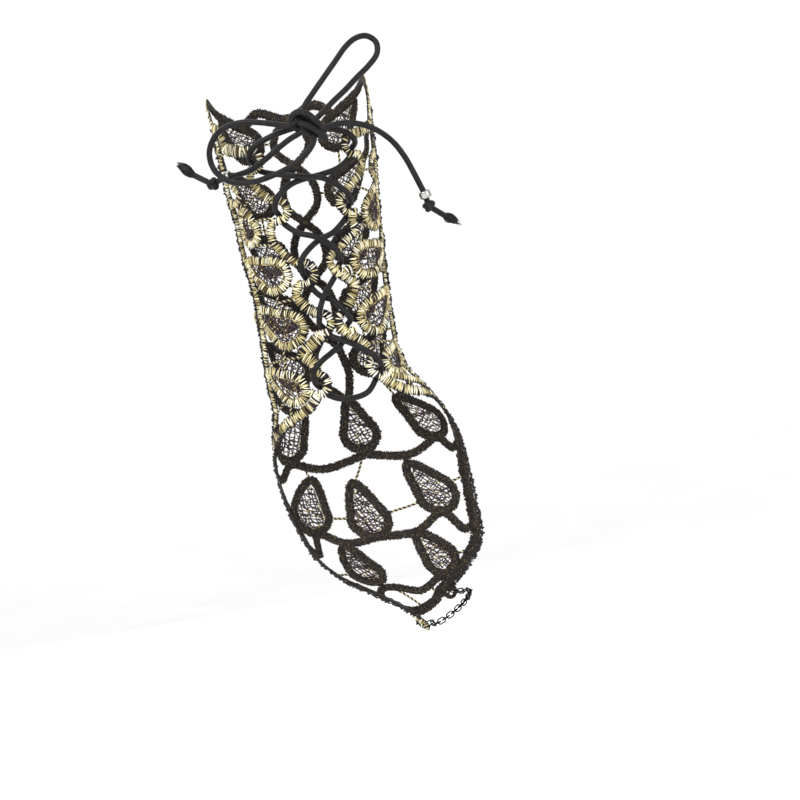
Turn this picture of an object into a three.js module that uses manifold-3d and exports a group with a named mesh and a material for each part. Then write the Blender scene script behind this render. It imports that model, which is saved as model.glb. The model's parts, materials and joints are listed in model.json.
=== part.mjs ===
// Lace cuff with finger chain. Millimetres, +Z up the forearm, +X across it, the laced inner wrist at -Y.
// The origin is the middle of the hollow at the wrist crease.
import * as THREE from "three";
import { mergeVertices } from "three/addons/utils/BufferGeometryUtils.js";
import Module from "manifold-3d";

const wasm = await Module();
wasm.setup();

const LACE_THICK = 1.4;
const NET_HIGH = 0.9;
const NET_DOME = 0.3;
const STANDOFF_BACK = 0.4;
const STANDOFF_LACED = 3.0;
const CORD_THICK = 2.4;
const CORD_SIDES = 6;
const CORD_OVER = 6.1;
const CORD_UNDER = 1.0;
const BAR_WIDTH = 1.1;
const BAR_SUNK = 0.3;
const BAND_SUNK = 0.12;
const LEAF_BAND = 2.8;
const LEAF_TIP_FILL = 2.2;
const EYELET_RADIUS = 4.1;
const EYELET_BAND = 2.0;
const EYELET_SUNK = 0.06;
const STROKE_STEP = 6;
const FLAT = 0.8;
const BEAD_OUTER = 5.0;
const BEAD_HOLE = 3.4;
const BEAD_LONG = 3.2;
const STOP_KNOT = 4.6;
const KNOT_GAP = 0.3;
const CHAIN_WIRE = 0.6;
const LINK_LONG = 4.0;
const LINK_WIDE = 2.8;
const LINK_COUNT = 17;
const LINK_START = 0.8;
const CHAIN_EYE_RADIUS = 2.2;
const CHAIN_EYE_BAND = 1.3;
const JUMP_RING_RADIUS = 2.7;

// The hollow that the cuff is worn round: z is the level, half the half width, deep the half depth,
// x and y the middle.
const HOLLOW = [
  { z: -122, half: 10.5, deep: 9.0, x: 32.0, y: 0.0 },
  { z: -112, half: 12.0, deep: 9.5, x: 28.5, y: 0.0 },
  { z: -102, half: 21.0, deep: 11.5, x: 24.5, y: 0.5 },
  { z: -92, half: 31.0, deep: 13.0, x: 20.5, y: 1.0 },
  { z: -80, half: 37.0, deep: 14.0, x: 17.0, y: 1.5 },
  { z: -62, half: 38.5, deep: 15.0, x: 12.5, y: 2.0 },
  { z: -47, half: 37.5, deep: 16.0, x: 9.0, y: 2.0 },
  { z: -34, half: 35.0, deep: 17.0, x: 7.5, y: 1.5 },
  { z: -22, half: 30.5, deep: 17.5, x: 5.0, y: 1.0 },
  { z: -12, half: 27.6, deep: 18.0, x: 1.5, y: 0.5 },
  { z: 0, half: 26.3, deep: 18.5, x: 0.0, y: 0.0 },
  { z: 20, half: 26.8, deep: 19.2, x: 0.0, y: 0.0 },
  { z: 50, half: 28.2, deep: 21.5, x: 0.0, y: 0.0 },
  { z: 80, half: 31.0, deep: 25.0, x: 0.0, y: 0.0 },
  { z: 98, half: 31.6, deep: 26.5, x: 0.0, y: 0.0 },
  { z: 118, half: 32.0, deep: 27.5, x: 0.0, y: 0.0 },
];

// A smooth value of one column of HOLLOW at level z, with no overshoot between the rows.
function hollow(column, z) {
  const last = HOLLOW.length - 1;
  const slope = (i) => (HOLLOW[i + 1][column] - HOLLOW[i][column]) / (HOLLOW[i + 1].z - HOLLOW[i].z);
  const tangent = (i) => {
    if (i === 0) return slope(0);
    if (i === last) return slope(last - 1);
    const before = slope(i - 1);
    const after = slope(i);
    return before * after <= 0 ? 0 : (2 * before * after) / (before + after);
  };
  let i = 0;
  while (i < last - 1 && z > HOLLOW[i + 1].z) i += 1;
  const run = HOLLOW[i + 1].z - HOLLOW[i].z;
  const t = (z - HOLLOW[i].z) / run;
  const a = HOLLOW[i][column];
  const b = HOLLOW[i + 1][column];
  const rise = 3 * t * t - 2 * t * t * t;
  const start = t * (1 - t) * (1 - t) * run * tangent(i);
  const end = t * t * (t - 1) * run * tangent(i + 1);
  return a + (b - a) * rise + start + end;
}

// A point of the hollow's wall: u is hundredths of half a turn from the middle of the back,
// negative on the thumb side, 100 the middle of the laced gap.
function wall(u, z) {
  const turn = (u * Math.PI) / 100;
  return new THREE.Vector3(
    hollow("x", z) + hollow("half", z) * Math.sin(turn),
    hollow("y", z) + hollow("deep", z) * Math.cos(turn),
    z,
  );
}

const PROBE = 0.05;

// The wall's directions per unit of u and of z, and its outward normal.
function along(u, z) {
  const du = wall(u + PROBE, z).sub(wall(u - PROBE, z)).divideScalar(2 * PROBE);
  const dz = wall(u, z + PROBE).sub(wall(u, z - PROBE)).divideScalar(2 * PROBE);
  const out = new THREE.Vector3().crossVectors(dz, du).normalize();
  return { du, dz, out };
}

function on(u, z, height) {
  return wall(u, z).addScaledVector(along(u, z).out, height);
}

// How far the lace stands off the wall: the lacing runs beneath its free edges and lifts them.
function standoff(u) {
  const round = ((u % 200) + 200) % 200;
  const side = round > 100 ? 200 - round : round;
  const t = Math.min(Math.max((side - 60) / 22, 0), 1);
  return STANDOFF_BACK + (STANDOFF_LACED - STANDOFF_BACK) * t * t * (3 - 2 * t);
}

// The lace is drawn flat, with u across and z up, joined, and then laid round the hollow.
// Moves from u, z by a length in mm across and up along the wall.
function moved(u, z, across, up) {
  const { du, dz } = along(u, z);
  return [u + across / du.length(), z + up / dz.length()];
}

// The two sides of a band of a given width at one point of its route.
function sides(before, here, after, width) {
  const { du, dz, out } = along(here[0], here[1]);
  const way = new THREE.Vector3()
    .addScaledVector(du, after[0] - before[0])
    .addScaledVector(dz, after[1] - before[1]);
  const side = new THREE.Vector3().crossVectors(out, way).normalize();
  const e = du.dot(du);
  const f = du.dot(dz);
  const g = dz.dot(dz);
  const a = side.dot(du);
  const b = side.dot(dz);
  const scale = width / 2 / (e * g - f * f);
  const su = (a * g - b * f) * scale;
  const sz = (b * e - a * f) * scale;
  return [[here[0] + su, here[1] + sz], [here[0] - su, here[1] - sz]];
}

function solid(corners, faces) {
  const make = (list) =>
    new wasm.Manifold(
      new wasm.Mesh({
        numProp: 3,
        vertProperties: new Float32Array(corners.flat()),
        triVerts: new Uint32Array(list.flat()),
      }),
    );
  const made = make(faces);
  return made.volume() > 0 ? made : make(faces.map(([a, b, c]) => [a, c, b]));
}

// A flat band along a route of [u, z], closed on itself or open. A sunk band is that much thinner on
// both faces than the leaves, so that it runs into them below their edges.
function band(route, width, sunk, closed) {
  const n = route.length;
  const corners = [];
  route.forEach((here, i) => {
    const before = closed ? route[(i + n - 1) % n] : route[Math.max(i - 1, 0)];
    const after = closed ? route[(i + 1) % n] : route[Math.min(i + 1, n - 1)];
    const [left, right] = sides(before, here, after, width);
    const high = LACE_THICK - sunk;
    corners.push([left[0] * FLAT, left[1], high], [right[0] * FLAT, right[1], high]);
    corners.push([left[0] * FLAT, left[1], sunk], [right[0] * FLAT, right[1], sunk]);
  });
  const faces = [];
  const quad = (a, b, c, d) => faces.push([a, b, c], [a, c, d]);
  const steps = closed ? n : n - 1;
  for (let i = 0; i < steps; i += 1) {
    const p = 4 * i;
    const q = 4 * ((i + 1) % n);
    quad(p, p + 1, q + 1, q);
    quad(p + 2, q + 2, q + 3, p + 3);
    quad(p, q, q + 2, p + 2);
    quad(p + 1, p + 3, q + 3, q + 1);
  }
  if (!closed) {
    const q = 4 * (n - 1);
    quad(0, 2, 3, 1);
    quad(q, q + 1, q + 3, q + 2);
  }
  return solid(corners, faces);
}

// A smooth run through the points of a route, in steps of about STROKE_STEP.
function smooth(route) {
  const points = route.map(([u, z]) => new THREE.Vector3(u * FLAT, z, 0));
  const curve = new THREE.CatmullRomCurve3(points, false, "centripetal");
  const steps = Math.max(route.length - 1, Math.round(curve.getLength() / STROKE_STEP));
  return curve.getSpacedPoints(steps).map((p) => [p.x / FLAT, p.y]);
}

// The outline of a leaf: a round end about u, z drawn out to a tip.
function leafOutline({ u, z, radius, tipU, tipZ }) {
  const { du, dz } = along(u, z);
  const across = (tipU - u) * du.length();
  const up = (tipZ - z) * dz.length();
  const reach = Math.hypot(across, up);
  const heading = Math.atan2(up, across);
  const opening = Math.acos(Math.min(radius / reach, 0.95)) * 0.92;
  const round = 6;
  const outline = [moved(u, z, across, up)];
  for (let i = 0; i < round; i += 1) {
    const angle = heading + opening + ((2 * Math.PI - 2 * opening) * i) / (round - 1);
    outline.push(moved(u, z, radius * Math.cos(angle), radius * Math.sin(angle)));
  }
  return outline;
}

// A leaf: a raised band along its outline and, inside it, a fine net drawn here as a thin domed web.
function leafSolid(leaf) {
  const outline = leafOutline(leaf);
  const n = outline.length;
  const centre = [leaf.u * FLAT, leaf.z];
  const outer = [];
  const inner = [];
  outline.forEach((here, i) => {
    const pair = sides(outline[(i + n - 1) % n], here, outline[(i + 1) % n], LEAF_BAND);
    const far = pair.map(([a, b]) => Math.hypot(a * FLAT - centre[0], b - centre[1]));
    const [near, wide] = far[0] < far[1] ? pair : [pair[1], pair[0]];
    outer.push([wide[0] * FLAT, wide[1]]);
    const back = i === 0 ? LEAF_TIP_FILL : 1;
    inner.push([(here[0] + (near[0] - here[0]) * back) * FLAT, here[1] + (near[1] - here[1]) * back]);
  });
  const ring = (loop, height) => loop.map(([a, b]) => [a, b, height]);
  const corners = [...ring(outer, 0), ...ring(outer, LACE_THICK)];
  corners.push(...ring(inner, LACE_THICK), ...ring(inner, NET_HIGH));
  corners.push([...centre, NET_DOME], [...centre, NET_HIGH + NET_DOME]);
  const faces = [];
  for (let i = 0; i < n; i += 1) {
    const j = (i + 1) % n;
    faces.push([j, i, 4 * n]);
    for (let level = 0; level < 3; level += 1) {
      const low = level * n;
      faces.push([low + i, low + j, low + n + j], [low + i, low + n + j, low + n + i]);
    }
    faces.push([3 * n + i, 3 * n + j, 4 * n + 1]);
  }
  return solid(corners, faces);
}

// Leaves on the thumb side of the lace, on the far side, over the back and down the hand.
const LEAVES = [
  { at: "thumb_1", u: -69, z: 52, radius: 4.6, tipU: -67, tipZ: 62.5 },
  { at: "thumb_2", u: -78, z: 33, radius: 6.0, tipU: -60, tipZ: 40 },
  { at: "thumb_3", u: -80, z: 10.5, radius: 6.4, tipU: -61, tipZ: 20 },
  { at: "thumb_4", u: -76, z: -13, radius: 5.4, tipU: -58, tipZ: -5 },
  { at: "far_1", u: 66, z: 52.5, radius: 5.8, tipU: 58, tipZ: 63 },
  { at: "far_2", u: 76, z: 33.5, radius: 6.0, tipU: 57, tipZ: 38 },
  { at: "far_3", u: 76.5, z: 10.5, radius: 6.0, tipU: 57, tipZ: 20 },
  { at: "far_4", u: 69, z: -9.5, radius: 4.8, tipU: 55, tipZ: -2 },
  { at: "hand_1", u: 0, z: -36, radius: 6.4, tipU: 0, tipZ: -22 },
  { at: "hand_2", u: -32, z: -36, radius: 6.4, tipU: -22, tipZ: -24 },
  { at: "hand_3", u: 30, z: -36, radius: 6.4, tipU: 21, tipZ: -24 },
  { at: "hand_4", u: -32, z: -66, radius: 7.2, tipU: -23, tipZ: -52 },
  { at: "hand_5", u: 19, z: -66, radius: 7.2, tipU: 13, tipZ: -52 },
  { at: "hand_6", u: -8, z: -72, radius: 7.2, tipU: -8, tipZ: -56 },
  { at: "hand_7", u: -24, z: -93, radius: 5.6, tipU: -22, tipZ: -81 },
  { at: "hand_8", u: 12, z: -93, radius: 5.6, tipU: 6, tipZ: -81 },
];

// Leaves of the back, one of each pair; the other is its mirror image in the middle line.
const BACK_LEAVES = [
  { at: "back_1", u: 20, z: 90, radius: 6.2, tipU: 33, tipZ: 101 },
  { at: "back_2", u: 20, z: 66, radius: 6.2, tipU: 33, tipZ: 77 },
  { at: "back_3", u: 20, z: 42, radius: 6.2, tipU: 33, tipZ: 53 },
  { at: "back_4", u: 20, z: 18, radius: 6.2, tipU: 33, tipZ: 29 },
  { at: "back_5", u: 20, z: -6, radius: 6.2, tipU: 33, tipZ: 5 },
];

// Eyelet curls that the cord is laced through: from and to are angles of the curl, 0 towards the gap
// and 90 up the arm.
const EYELETS = [
  { at: "thumb_1", u: -79.5, z: 80.3, from: 120, to: -120 },
  { at: "thumb_2", u: -86, z: 58.7, from: 110, to: -120 },
  { at: "thumb_3", u: -92.5, z: 32, from: 110, to: -130 },
  { at: "thumb_4", u: -96, z: 10.8, from: 120, to: -120 },
  { at: "thumb_5", u: -88.5, z: -12.4, from: 100, to: -140 },
  { at: "far_1", u: 77, z: 80.3, from: 130, to: -120 },
  { at: "far_2", u: 82, z: 57.6, from: 60, to: -120 },
  { at: "far_3", u: 90, z: 34.6, from: 60, to: -130 },
  { at: "far_4", u: 90, z: 10.2, from: 80, to: -110 },
  { at: "far_5", u: 80.5, z: -10.5, from: 80, to: -150 },
];

// Bands of the lace: width, then the route as u, z.
const BANDS = [
  { at: "thumb_top", width: 4.0, route: [[-56, 97], [-63, 93], [-65, 87], [-71, 85.5], [-77, 84]] },
  { at: "thumb_12", width: 2.8, route: [[-79, 77], [-78, 73], [-80, 69], [-83, 65], [-86, 62]] },
  { at: "thumb_23", width: 2.8, route: [[-84, 55.5], [-82, 51], [-82, 46], [-85, 42], [-91, 36]] },
  { at: "thumb_34", width: 3.2, route: [[-90, 28], [-88, 23], [-91, 18.5], [-96, 15]] },
  { at: "thumb_45", width: 4.2, route: [[-97, 6.5], [-91, 3], [-86, -0.5], [-90, -3.5], [-91, -7]] },
  { at: "thumb_ring", width: 2.4, route: [[-60, 74], [-64, 71.5], [-68, 68], [-64, 64.5], [-58, 66]] },
  {
    at: "thumb_column", width: 2.8,
    route: [[-56, 97], [-58, 86], [-57, 72], [-58, 58], [-56, 46], [-60, 34], [-62, 24], [-60, 12], [-57, -2],
      [-56, -14], [-55, -24], [-50, -34]],
  },
  {
    at: "thumb_hem", width: 3.4,
    route: [[-88, -16.5], [-82, -21.5], [-75, -24.5], [-67, -27], [-58, -31], [-50, -37], [-50, -48],
      [-48, -62], [-47, -76], [-49.5, -88], [-46, -95], [-43, -102], [-44, -109], [-61, -115.6]],
  },
  { at: "far_top", width: 3.2, route: [[55, 96], [60, 88], [68, 86], [77, 84]] },
  { at: "far_12", width: 2.8, route: [[76, 77], [73, 73], [75, 69], [79, 66], [84, 62]] },
  { at: "far_23", width: 2.8, route: [[82, 53.5], [82, 49], [81, 46], [86, 42.5], [91, 38.5]] },
  { at: "far_34", width: 3.6, route: [[94, 32], [90, 28.5], [85, 24], [87, 20], [90, 16], [92, 13.5]] },
  { at: "far_45", width: 3.6, route: [[96, 8.5], [91, 4], [87, 1.5], [84, -2], [83, -6]] },
  { at: "far_curl", width: 2.4, route: [[58, 77], [63, 73.5], [64, 69], [58, 66]] },
  {
    at: "far_column", width: 2.8,
    route: [[55, 96], [57, 86], [57, 72], [57, 58], [55, 46], [58, 34], [59, 24], [58, 12], [56, -2],
      [54, -12], [51, -22], [49, -34]],
  },
  {
    at: "far_hem", width: 3.4,
    route: [[83, -14.5], [79, -20], [72, -22.5], [62, -23.5], [54, -26], [50, -34], [44, -46], [36, -60],
      [32, -76], [30, -88], [21, -98], [6, -106.5]],
  },
  { at: "far_slit", width: 2.4, route: [[79, -14], [71, -16.5], [62, -18], [53, -20]] },
  { at: "top_middle", width: 3.0, route: [[-20, 97], [-12, 103], [0, 99], [12, 103], [20, 97]] },
  { at: "hand_tip", width: 3.4, route: [[-44, -109], [-30, -111.5], [-14, -111], [-2, -109], [7, -106]] },
  { at: "hand_rib_1", width: 2.6, route: [[-50, -48], [-40, -49], [-32, -44], [-16, -48], [0, -45]] },
  { at: "hand_rib_2", width: 2.6, route: [[44, -46], [36, -48], [30, -43], [15, -48], [0, -45]] },
  { at: "hand_rib_3", width: 2.6, route: [[-47, -78], [-40, -82], [-32, -74], [-20, -80], [-8, -79.5]] },
  { at: "hand_rib_4", width: 2.6, route: [[32, -80], [25, -82], [18, -74], [6, -80], [-8, -79.5]] },
  { at: "hand_rib_5", width: 2.4, route: [[-44, -103], [-24, -100], [-6, -104], [12, -99], [21, -98]] },
];

// Bands of the back, mirrored like its leaves.
const BACK_BANDS = [
  { at: "back_top", width: 3.0, route: [[20, 97], [28, 101], [36, 104], [45, 108], [50, 104], [55, 96]] },
  { at: "back_ogee_1", width: 2.4, route: [[0, 99], [6, 93], [7, 86], [0, 79]] },
  { at: "back_ogee_2", width: 2.4, route: [[0, 79], [6, 72], [7, 62], [0, 55]] },
  { at: "back_ogee_3", width: 2.4, route: [[0, 55], [6, 48], [7, 38], [0, 31]] },
  { at: "back_ogee_4", width: 2.4, route: [[0, 31], [6, 24], [7, 14], [0, 7]] },
  { at: "back_ogee_5", width: 2.4, route: [[0, 7], [6, 0], [7, -11], [0, -22]] },
  { at: "back_scroll_1", width: 2.6, route: [[57, 86], [48, 89], [40, 86], [38, 80], [34, 76]] },
  { at: "back_scroll_2", width: 2.6, route: [[57, 64], [48, 66], [40, 62], [38, 56], [34, 52]] },
  { at: "back_scroll_3", width: 2.6, route: [[56, 42], [48, 42], [40, 38], [38, 32], [34, 28]] },
  { at: "back_scroll_4", width: 2.6, route: [[59.5, 18], [48, 18], [40, 14], [38, 8], [34, 4]] },
  { at: "back_scroll_5", width: 2.6, route: [[55, -6], [46, -5], [40, -10], [34, -20], [21, -24]] },
];

// Thin twisted bars between the bands, each from one u, z to another.
const BARS = [
  { from: [-66, 86], to: [-58, 84] },
  { from: [-68.5, 62], to: [-80, 67] },
  { from: [-73, 56], to: [-83.5, 56] },
  { from: [-73, 50], to: [-82, 52] },
  { from: [-70, 46.6], to: [-82, 45] },
  { from: [-85, 29], to: [-89, 27] },
  { from: [-79, 26], to: [-79, 18] },
  { from: [-79, 22], to: [-88, 22] },
  { from: [-61, 28], to: [-72, 30] },
  { from: [-76.5, 3.8], to: [-75, -7] },
  { from: [-58, -2], to: [-86, -1] },
  { from: [-57.5, -22], to: [-70, -16.5] },
  { from: [-72, -19], to: [-71, -25] },
  { from: [64, 70], to: [75, 69] },
  { from: [66, 60], to: [81.5, 64] },
  { from: [73, 53], to: [82, 52] },
  { from: [70, 46], to: [81, 47] },
  { from: [76, 39], to: [82, 45] },
  { from: [83, 29], to: [88, 27] },
  { from: [77, 27], to: [77, 17] },
  { from: [77, 22], to: [86, 22] },
  { from: [58, 28], to: [70, 30] },
  { from: [83.5, 13.5], to: [88.5, 18] },
  { from: [75, 4], to: [72, -5] },
  { from: [57, -1], to: [86, 0] },
  { from: [73, -12], to: [77, -12] },
  { from: [58, -19], to: [58, -25] },
  { from: [70, -17], to: [70, -23] },
  { from: [52, -15], to: [62, -12] },
  { from: [-14.5, -70], to: [-26, -67.5] },
  { from: [-1.5, -70.5], to: [12.8, -68] },
  { from: [-23, -52], to: [-24, -46] },
  { from: [-8, -57], to: [0, -43] },
  { from: [13, -52], to: [12, -47] },
  { from: [-40, -62], to: [-48, -60] },
  { from: [26, -62], to: [35, -60] },
  { from: [-33, -92], to: [-48, -91] },
  { from: [18.5, -92], to: [31, -90] },
  { from: [-20, -101], to: [-18, -112] },
  { from: [2, -102], to: [0, -109] },
];

// Bars of the back, mirrored like its leaves.
const BACK_BARS = [
  { from: [6, 90], to: [14, 90] },
  { from: [7, 66], to: [14, 66] },
  { from: [7, 42], to: [14, 42] },
  { from: [7, 18], to: [14, 18] },
  { from: [7, -6], to: [14, -6] },
  { from: [20, 84], to: [20, 72] },
  { from: [20, 60], to: [20, 48] },
  { from: [20, 36], to: [20, 24] },
  { from: [20, 12], to: [20, 0] },
  { from: [20, -12], to: [21, -24] },
  { from: [34, 77], to: [57, 75] },
  { from: [34, 53], to: [56, 52] },
  { from: [34, 29], to: [60, 29] },
  { from: [34, 5], to: [57, 4] },
  { from: [46, -5], to: [54.5, -18] },
];

function mirrored(list, turn) {
  return list.concat(list.map(turn));
}

const allLeaves = LEAVES.concat(mirrored(BACK_LEAVES, (leaf) => ({ ...leaf, u: -leaf.u, tipU: -leaf.tipU })));
const flip = ([u, z]) => [-u, z];
const allBands = BANDS.concat(mirrored(BACK_BANDS, (row) => ({ ...row, route: row.route.map(flip) })));
const allBars = BARS.concat(mirrored(BACK_BARS, (bar) => ({ from: flip(bar.from), to: flip(bar.to) })));

function eyeletRoute({ u, z, from, to }) {
  const toGap = Math.sign(u);
  const steps = 7;
  const route = [];
  for (let i = 0; i <= steps; i += 1) {
    const angle = THREE.MathUtils.degToRad(from + ((to - from) * i) / steps);
    route.push(moved(u, z, toGap * EYELET_RADIUS * Math.cos(angle), EYELET_RADIUS * Math.sin(angle)));
  }
  return route;
}

function joined(solids) {
  return solids.reduce((whole, next) => whole.add(next));
}

function meshOf(manifold, place) {
  const { numProp, numVert, vertProperties, triVerts } = manifold.getMesh();
  const position = new Float32Array(3 * numVert);
  for (let i = 0; i < numVert; i += 1) {
    const p = place(...vertProperties.subarray(numProp * i, numProp * i + 3));
    position.set([p.x, p.y, p.z], 3 * i);
  }
  const geometry = new THREE.BufferGeometry();
  geometry.setAttribute("position", new THREE.BufferAttribute(position, 3));
  // Laying the lace round the hollow turns its faces over, so each is turned back.
  const faces = Uint32Array.from(triVerts, (v, i) => triVerts[i % 3 === 0 ? i : i + (i % 3 === 1 ? 1 : -1)]);
  geometry.setIndex(new THREE.BufferAttribute(faces, 1));
  geometry.computeVertexNormals();
  return geometry;
}

// Small eyes at the two ends of the lace tip, which hold the chain.
const CHAIN_EYES = [
  { at: "thumb", u: -66, z: -116.4 },
  { at: "far", u: 13.5, z: -106.6 },
];

function circleRoute({ u, z }, radius, count) {
  const route = [];
  for (let i = 0; i < count; i += 1) {
    const angle = (2 * Math.PI * i) / count;
    route.push(moved(u, z, radius * Math.cos(angle), radius * Math.sin(angle)));
  }
  return route;
}

const lacePieces = [];
for (const leaf of allLeaves) lacePieces.push(leafSolid(leaf));
for (const eyelet of EYELETS) lacePieces.push(band(eyeletRoute(eyelet), EYELET_BAND, EYELET_SUNK, false));
for (const { route, width } of allBands) lacePieces.push(band(smooth(route), width, BAND_SUNK, false));
for (const { from, to } of allBars) lacePieces.push(band([from, to], BAR_WIDTH, BAR_SUNK, false));
for (const eye of CHAIN_EYES) {
  lacePieces.push(band(circleRoute(eye, CHAIN_EYE_RADIUS, 8), CHAIN_EYE_BAND, EYELET_SUNK, true));
}
const laceFlat = joined(lacePieces);
const lace = meshOf(laceFlat, (x, y, h) => on(x / FLAT, y, standoff(x / FLAT) + h));

const part = new THREE.Group();

function add(name, geometry, material) {
  const mesh = new THREE.Mesh(geometry, material);
  mesh.name = name;
  part.add(mesh);
  return mesh;
}

const goldLace = new THREE.MeshStandardMaterial({ color: 0xc9b583, roughness: 0.5, metalness: 0.35 });
const blackCord = new THREE.MeshStandardMaterial({ color: 0x26262a, roughness: 0.55, metalness: 0 });
const silver = new THREE.MeshStandardMaterial({ color: 0xd8d8da, roughness: 0.2, metalness: 1 });
const blackMetal = new THREE.MeshStandardMaterial({ color: 0x1d1d20, roughness: 0.35, metalness: 0.8 });

add("lace_panel", lace, goldLace);

// A route that a tube follows with one ring at each of its points.
class Route extends THREE.CatmullRomCurve3 {
  getUtoTmapping(u) {
    return u;
  }
}

function tube(points, thick, count = CORD_SIDES) {
  const route = new Route(points, false, "centripetal");
  const shape = new THREE.Shape();
  for (let i = 0; i < count; i += 1) {
    const angle = (2 * Math.PI * i) / count;
    const x = (thick / 2) * Math.cos(angle);
    const y = (thick / 2) * Math.sin(angle);
    if (i === 0) shape.moveTo(x, y);
    else shape.lineTo(x, y);
  }
  shape.closePath();
  return new THREE.ExtrudeGeometry(shape, { steps: points.length - 1, extrudePath: route, curveSegments: 1 });
}

// The lacing, in the order in which the cord runs. A stop at an eyelet says where the cord comes from and
// leaves to, as angles with 0 towards the gap and 90 up the arm, and whether it goes down through the
// eyelet or up. Between them are points over the gap: u counts on past 100 to the thumb side, and high is
// the height of the cord's middle over the wall.
const LACING = [
  { u: 103.5, z: 89.2, high: 5.0 },
  { u: 110, z: 87.8, high: 5.0 },
  { eyelet: "thumb_1", comes: 57, leaves: -70, down: true },
  { u: 109, z: 72.3, high: 2.6 },
  { u: 100.5, z: 70.2, high: 5.0 },
  { u: 93, z: 68.3, high: 5.4 },
  { eyelet: "far_2", comes: 60, leaves: -85, down: true },
  { u: 91, z: 46.3, high: 1.6 },
  { u: 98, z: 44.1, high: 2.1 },
  { u: 104, z: 40.4, high: 4.6 },
  { eyelet: "thumb_3", comes: 85, leaves: -74, down: true },
  { u: 101.5, z: 21.8, high: 2.0 },
  { u: 96.2, z: 19.2, high: 3.2 },
  { eyelet: "far_4", comes: 63, leaves: -60, down: true },
  { u: 94.8, z: 1.8, high: 1.3 },
  { u: 101, z: -1.6, high: 2.4 },
  { u: 105, z: -3.4, high: 5.2 },
  { u: 108.5, z: -5.6, high: 6.0 },
  { eyelet: "thumb_5", comes: 80, leaves: -74, down: true },
  { u: 105, z: -20.2, high: 1.5 },
  { u: 98, z: -20.8, high: 1.6 },
  { u: 92, z: -19.4, high: 1.4 },
  { eyelet: "far_5", comes: -55, leaves: 70, down: false },
  { u: 89, z: -0.8, high: 6.0 },
  { u: 94.5, z: 2.4, high: 5.2 },
  { u: 99, z: 4.6, high: 3.0 },
  { eyelet: "thumb_4", comes: -60, leaves: 80, down: false },
  { u: 100.3, z: 21.2, high: 5.0 },
  { u: 96.8, z: 25.2, high: 3.0 },
  { eyelet: "far_3", comes: -69, leaves: 68, down: false },
  { u: 94.8, z: 42.2, high: 5.6 },
  { u: 99.5, z: 45.6, high: 5.0 },
  { u: 107, z: 48.6, high: 2.4 },
  { eyelet: "thumb_2", comes: -80, leaves: 70, down: false },
  { u: 106, z: 67.8, high: 4.4 },
  { u: 99.5, z: 69.2, high: 2.0 },
  { u: 92.5, z: 69.9, high: 1.6 },
  { u: 85, z: 71.5, high: 1.3 },
  { eyelet: "far_1", comes: -77, leaves: 50, down: false },
  { u: 84.5, z: 86.2, high: 5.8 },
  { u: 90, z: 87.6, high: 5.0 },
];

// How the cord passes through an eyelet: distance from its middle, and how far it has gone from the upper
// height to the lower.
const THROUGH = [
  { reach: 4.9, gone: 0 },
  { reach: 2.0, gone: 0.12 },
  { reach: 0, gone: 0.5 },
  { reach: 2.0, gone: 0.88 },
  { reach: 4.9, gone: 1 },
];

function throughEyelet({ eyelet, comes, leaves, down }) {
  const { u, z } = EYELETS.find((row) => row.at === eyelet);
  const toGap = Math.sign(u);
  return THROUGH.map(({ reach, gone }, i) => {
    const angle = THREE.MathUtils.degToRad(i < 2 ? comes : leaves);
    const [a, b] = moved(u, z, toGap * reach * Math.cos(angle), reach * Math.sin(angle));
    const fall = down ? gone : 1 - gone;
    return on(a, b, CORD_OVER + (CORD_UNDER - CORD_OVER) * fall);
  });
}

// Where the two ends of the lacing enter the bow's knot, and the routes of the bow in the open,
// all of the cord's middle as x, y, z.
const LACING_ENDS = [[3.4, -33.0, 89.4], [6.2, -33.0, 88.4]];
const BOW_LOOP_LEFT = [
  [1.8, -33.8, 91.6], [-0.4, -34.2, 90.8], [-3.6, -34.2, 90.2], [-8, -33.8, 91.4], [-14, -33, 93.2],
  [-21, -31.5, 94.6], [-28.6, -28.5, 93.8], [-33.6, -25.5, 90.2], [-36, -23.8, 84.6], [-34.8, -23.6, 77.8],
  [-29.4, -26, 72.4], [-21.8, -29.4, 70.6], [-12, -32.8, 71.8], [-4.5, -34.8, 74.2], [1.6, -36, 77.8],
  [5, -36.4, 81.4], [6.4, -34.6, 85.2],
];
const BOW_LOOP_UPPER = [
  [2.2, -33.5, 93.2], [4.4, -33.4, 97.0], [8.2, -32.6, 101.2], [13.8, -31.4, 107], [19.8, -30, 113.2],
  [25.2, -28.8, 118.6], [29.6, -28.1, 121.2], [34, -27.7, 121.4], [37.3, -27.7, 118.4], [37, -28.1, 113.9],
  [32.8, -29, 109.4], [27.2, -30, 105.3], [22, -31.4, 101.2], [16, -33, 97], [11, -34.4, 93.2], [6.0, -34.0, 89.8],
];
const TAIL_LEFT = [
  [3.6, -33.8, 88.0], [0.2, -33.4, 86.4], [-3.4, -32.4, 85.0], [-8, -31.2, 82.6], [-14, -29.4, 79.0],
  [-20, -26.6, 76.0], [-25.5, -23.0, 75.0], [-30.3, -20.2, 74.9], [-33.4, -18.4, 74.4], [-36.2, -17.0, 73.6],
  [-40.4, -15.6, 76.2], [-45.2, -14.4, 80.0], [-48.0, -13.8, 82.6],
];
const TAIL_RIGHT = [
  [6.8, -34.0, 86.4], [11.6, -33.6, 87.2], [15.4, -33.2, 87.8], [21, -31.8, 87.6], [28, -29, 85.6],
  [34, -26, 81.8], [38.2, -23.8, 77.4], [41.8, -21.6, 71.2], [44.6, -19.8, 64], [46.2, -18.8, 59.4],
  [47.6, -18.1, 55.4], [48.6, -17.6, 50.8], [52, -16.8, 47.6], [55.6, -16.0, 44.8], [58, -15.6, 43],
];

function points(rows) {
  return rows.map(([x, y, z]) => new THREE.Vector3(x, y, z));
}

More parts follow.
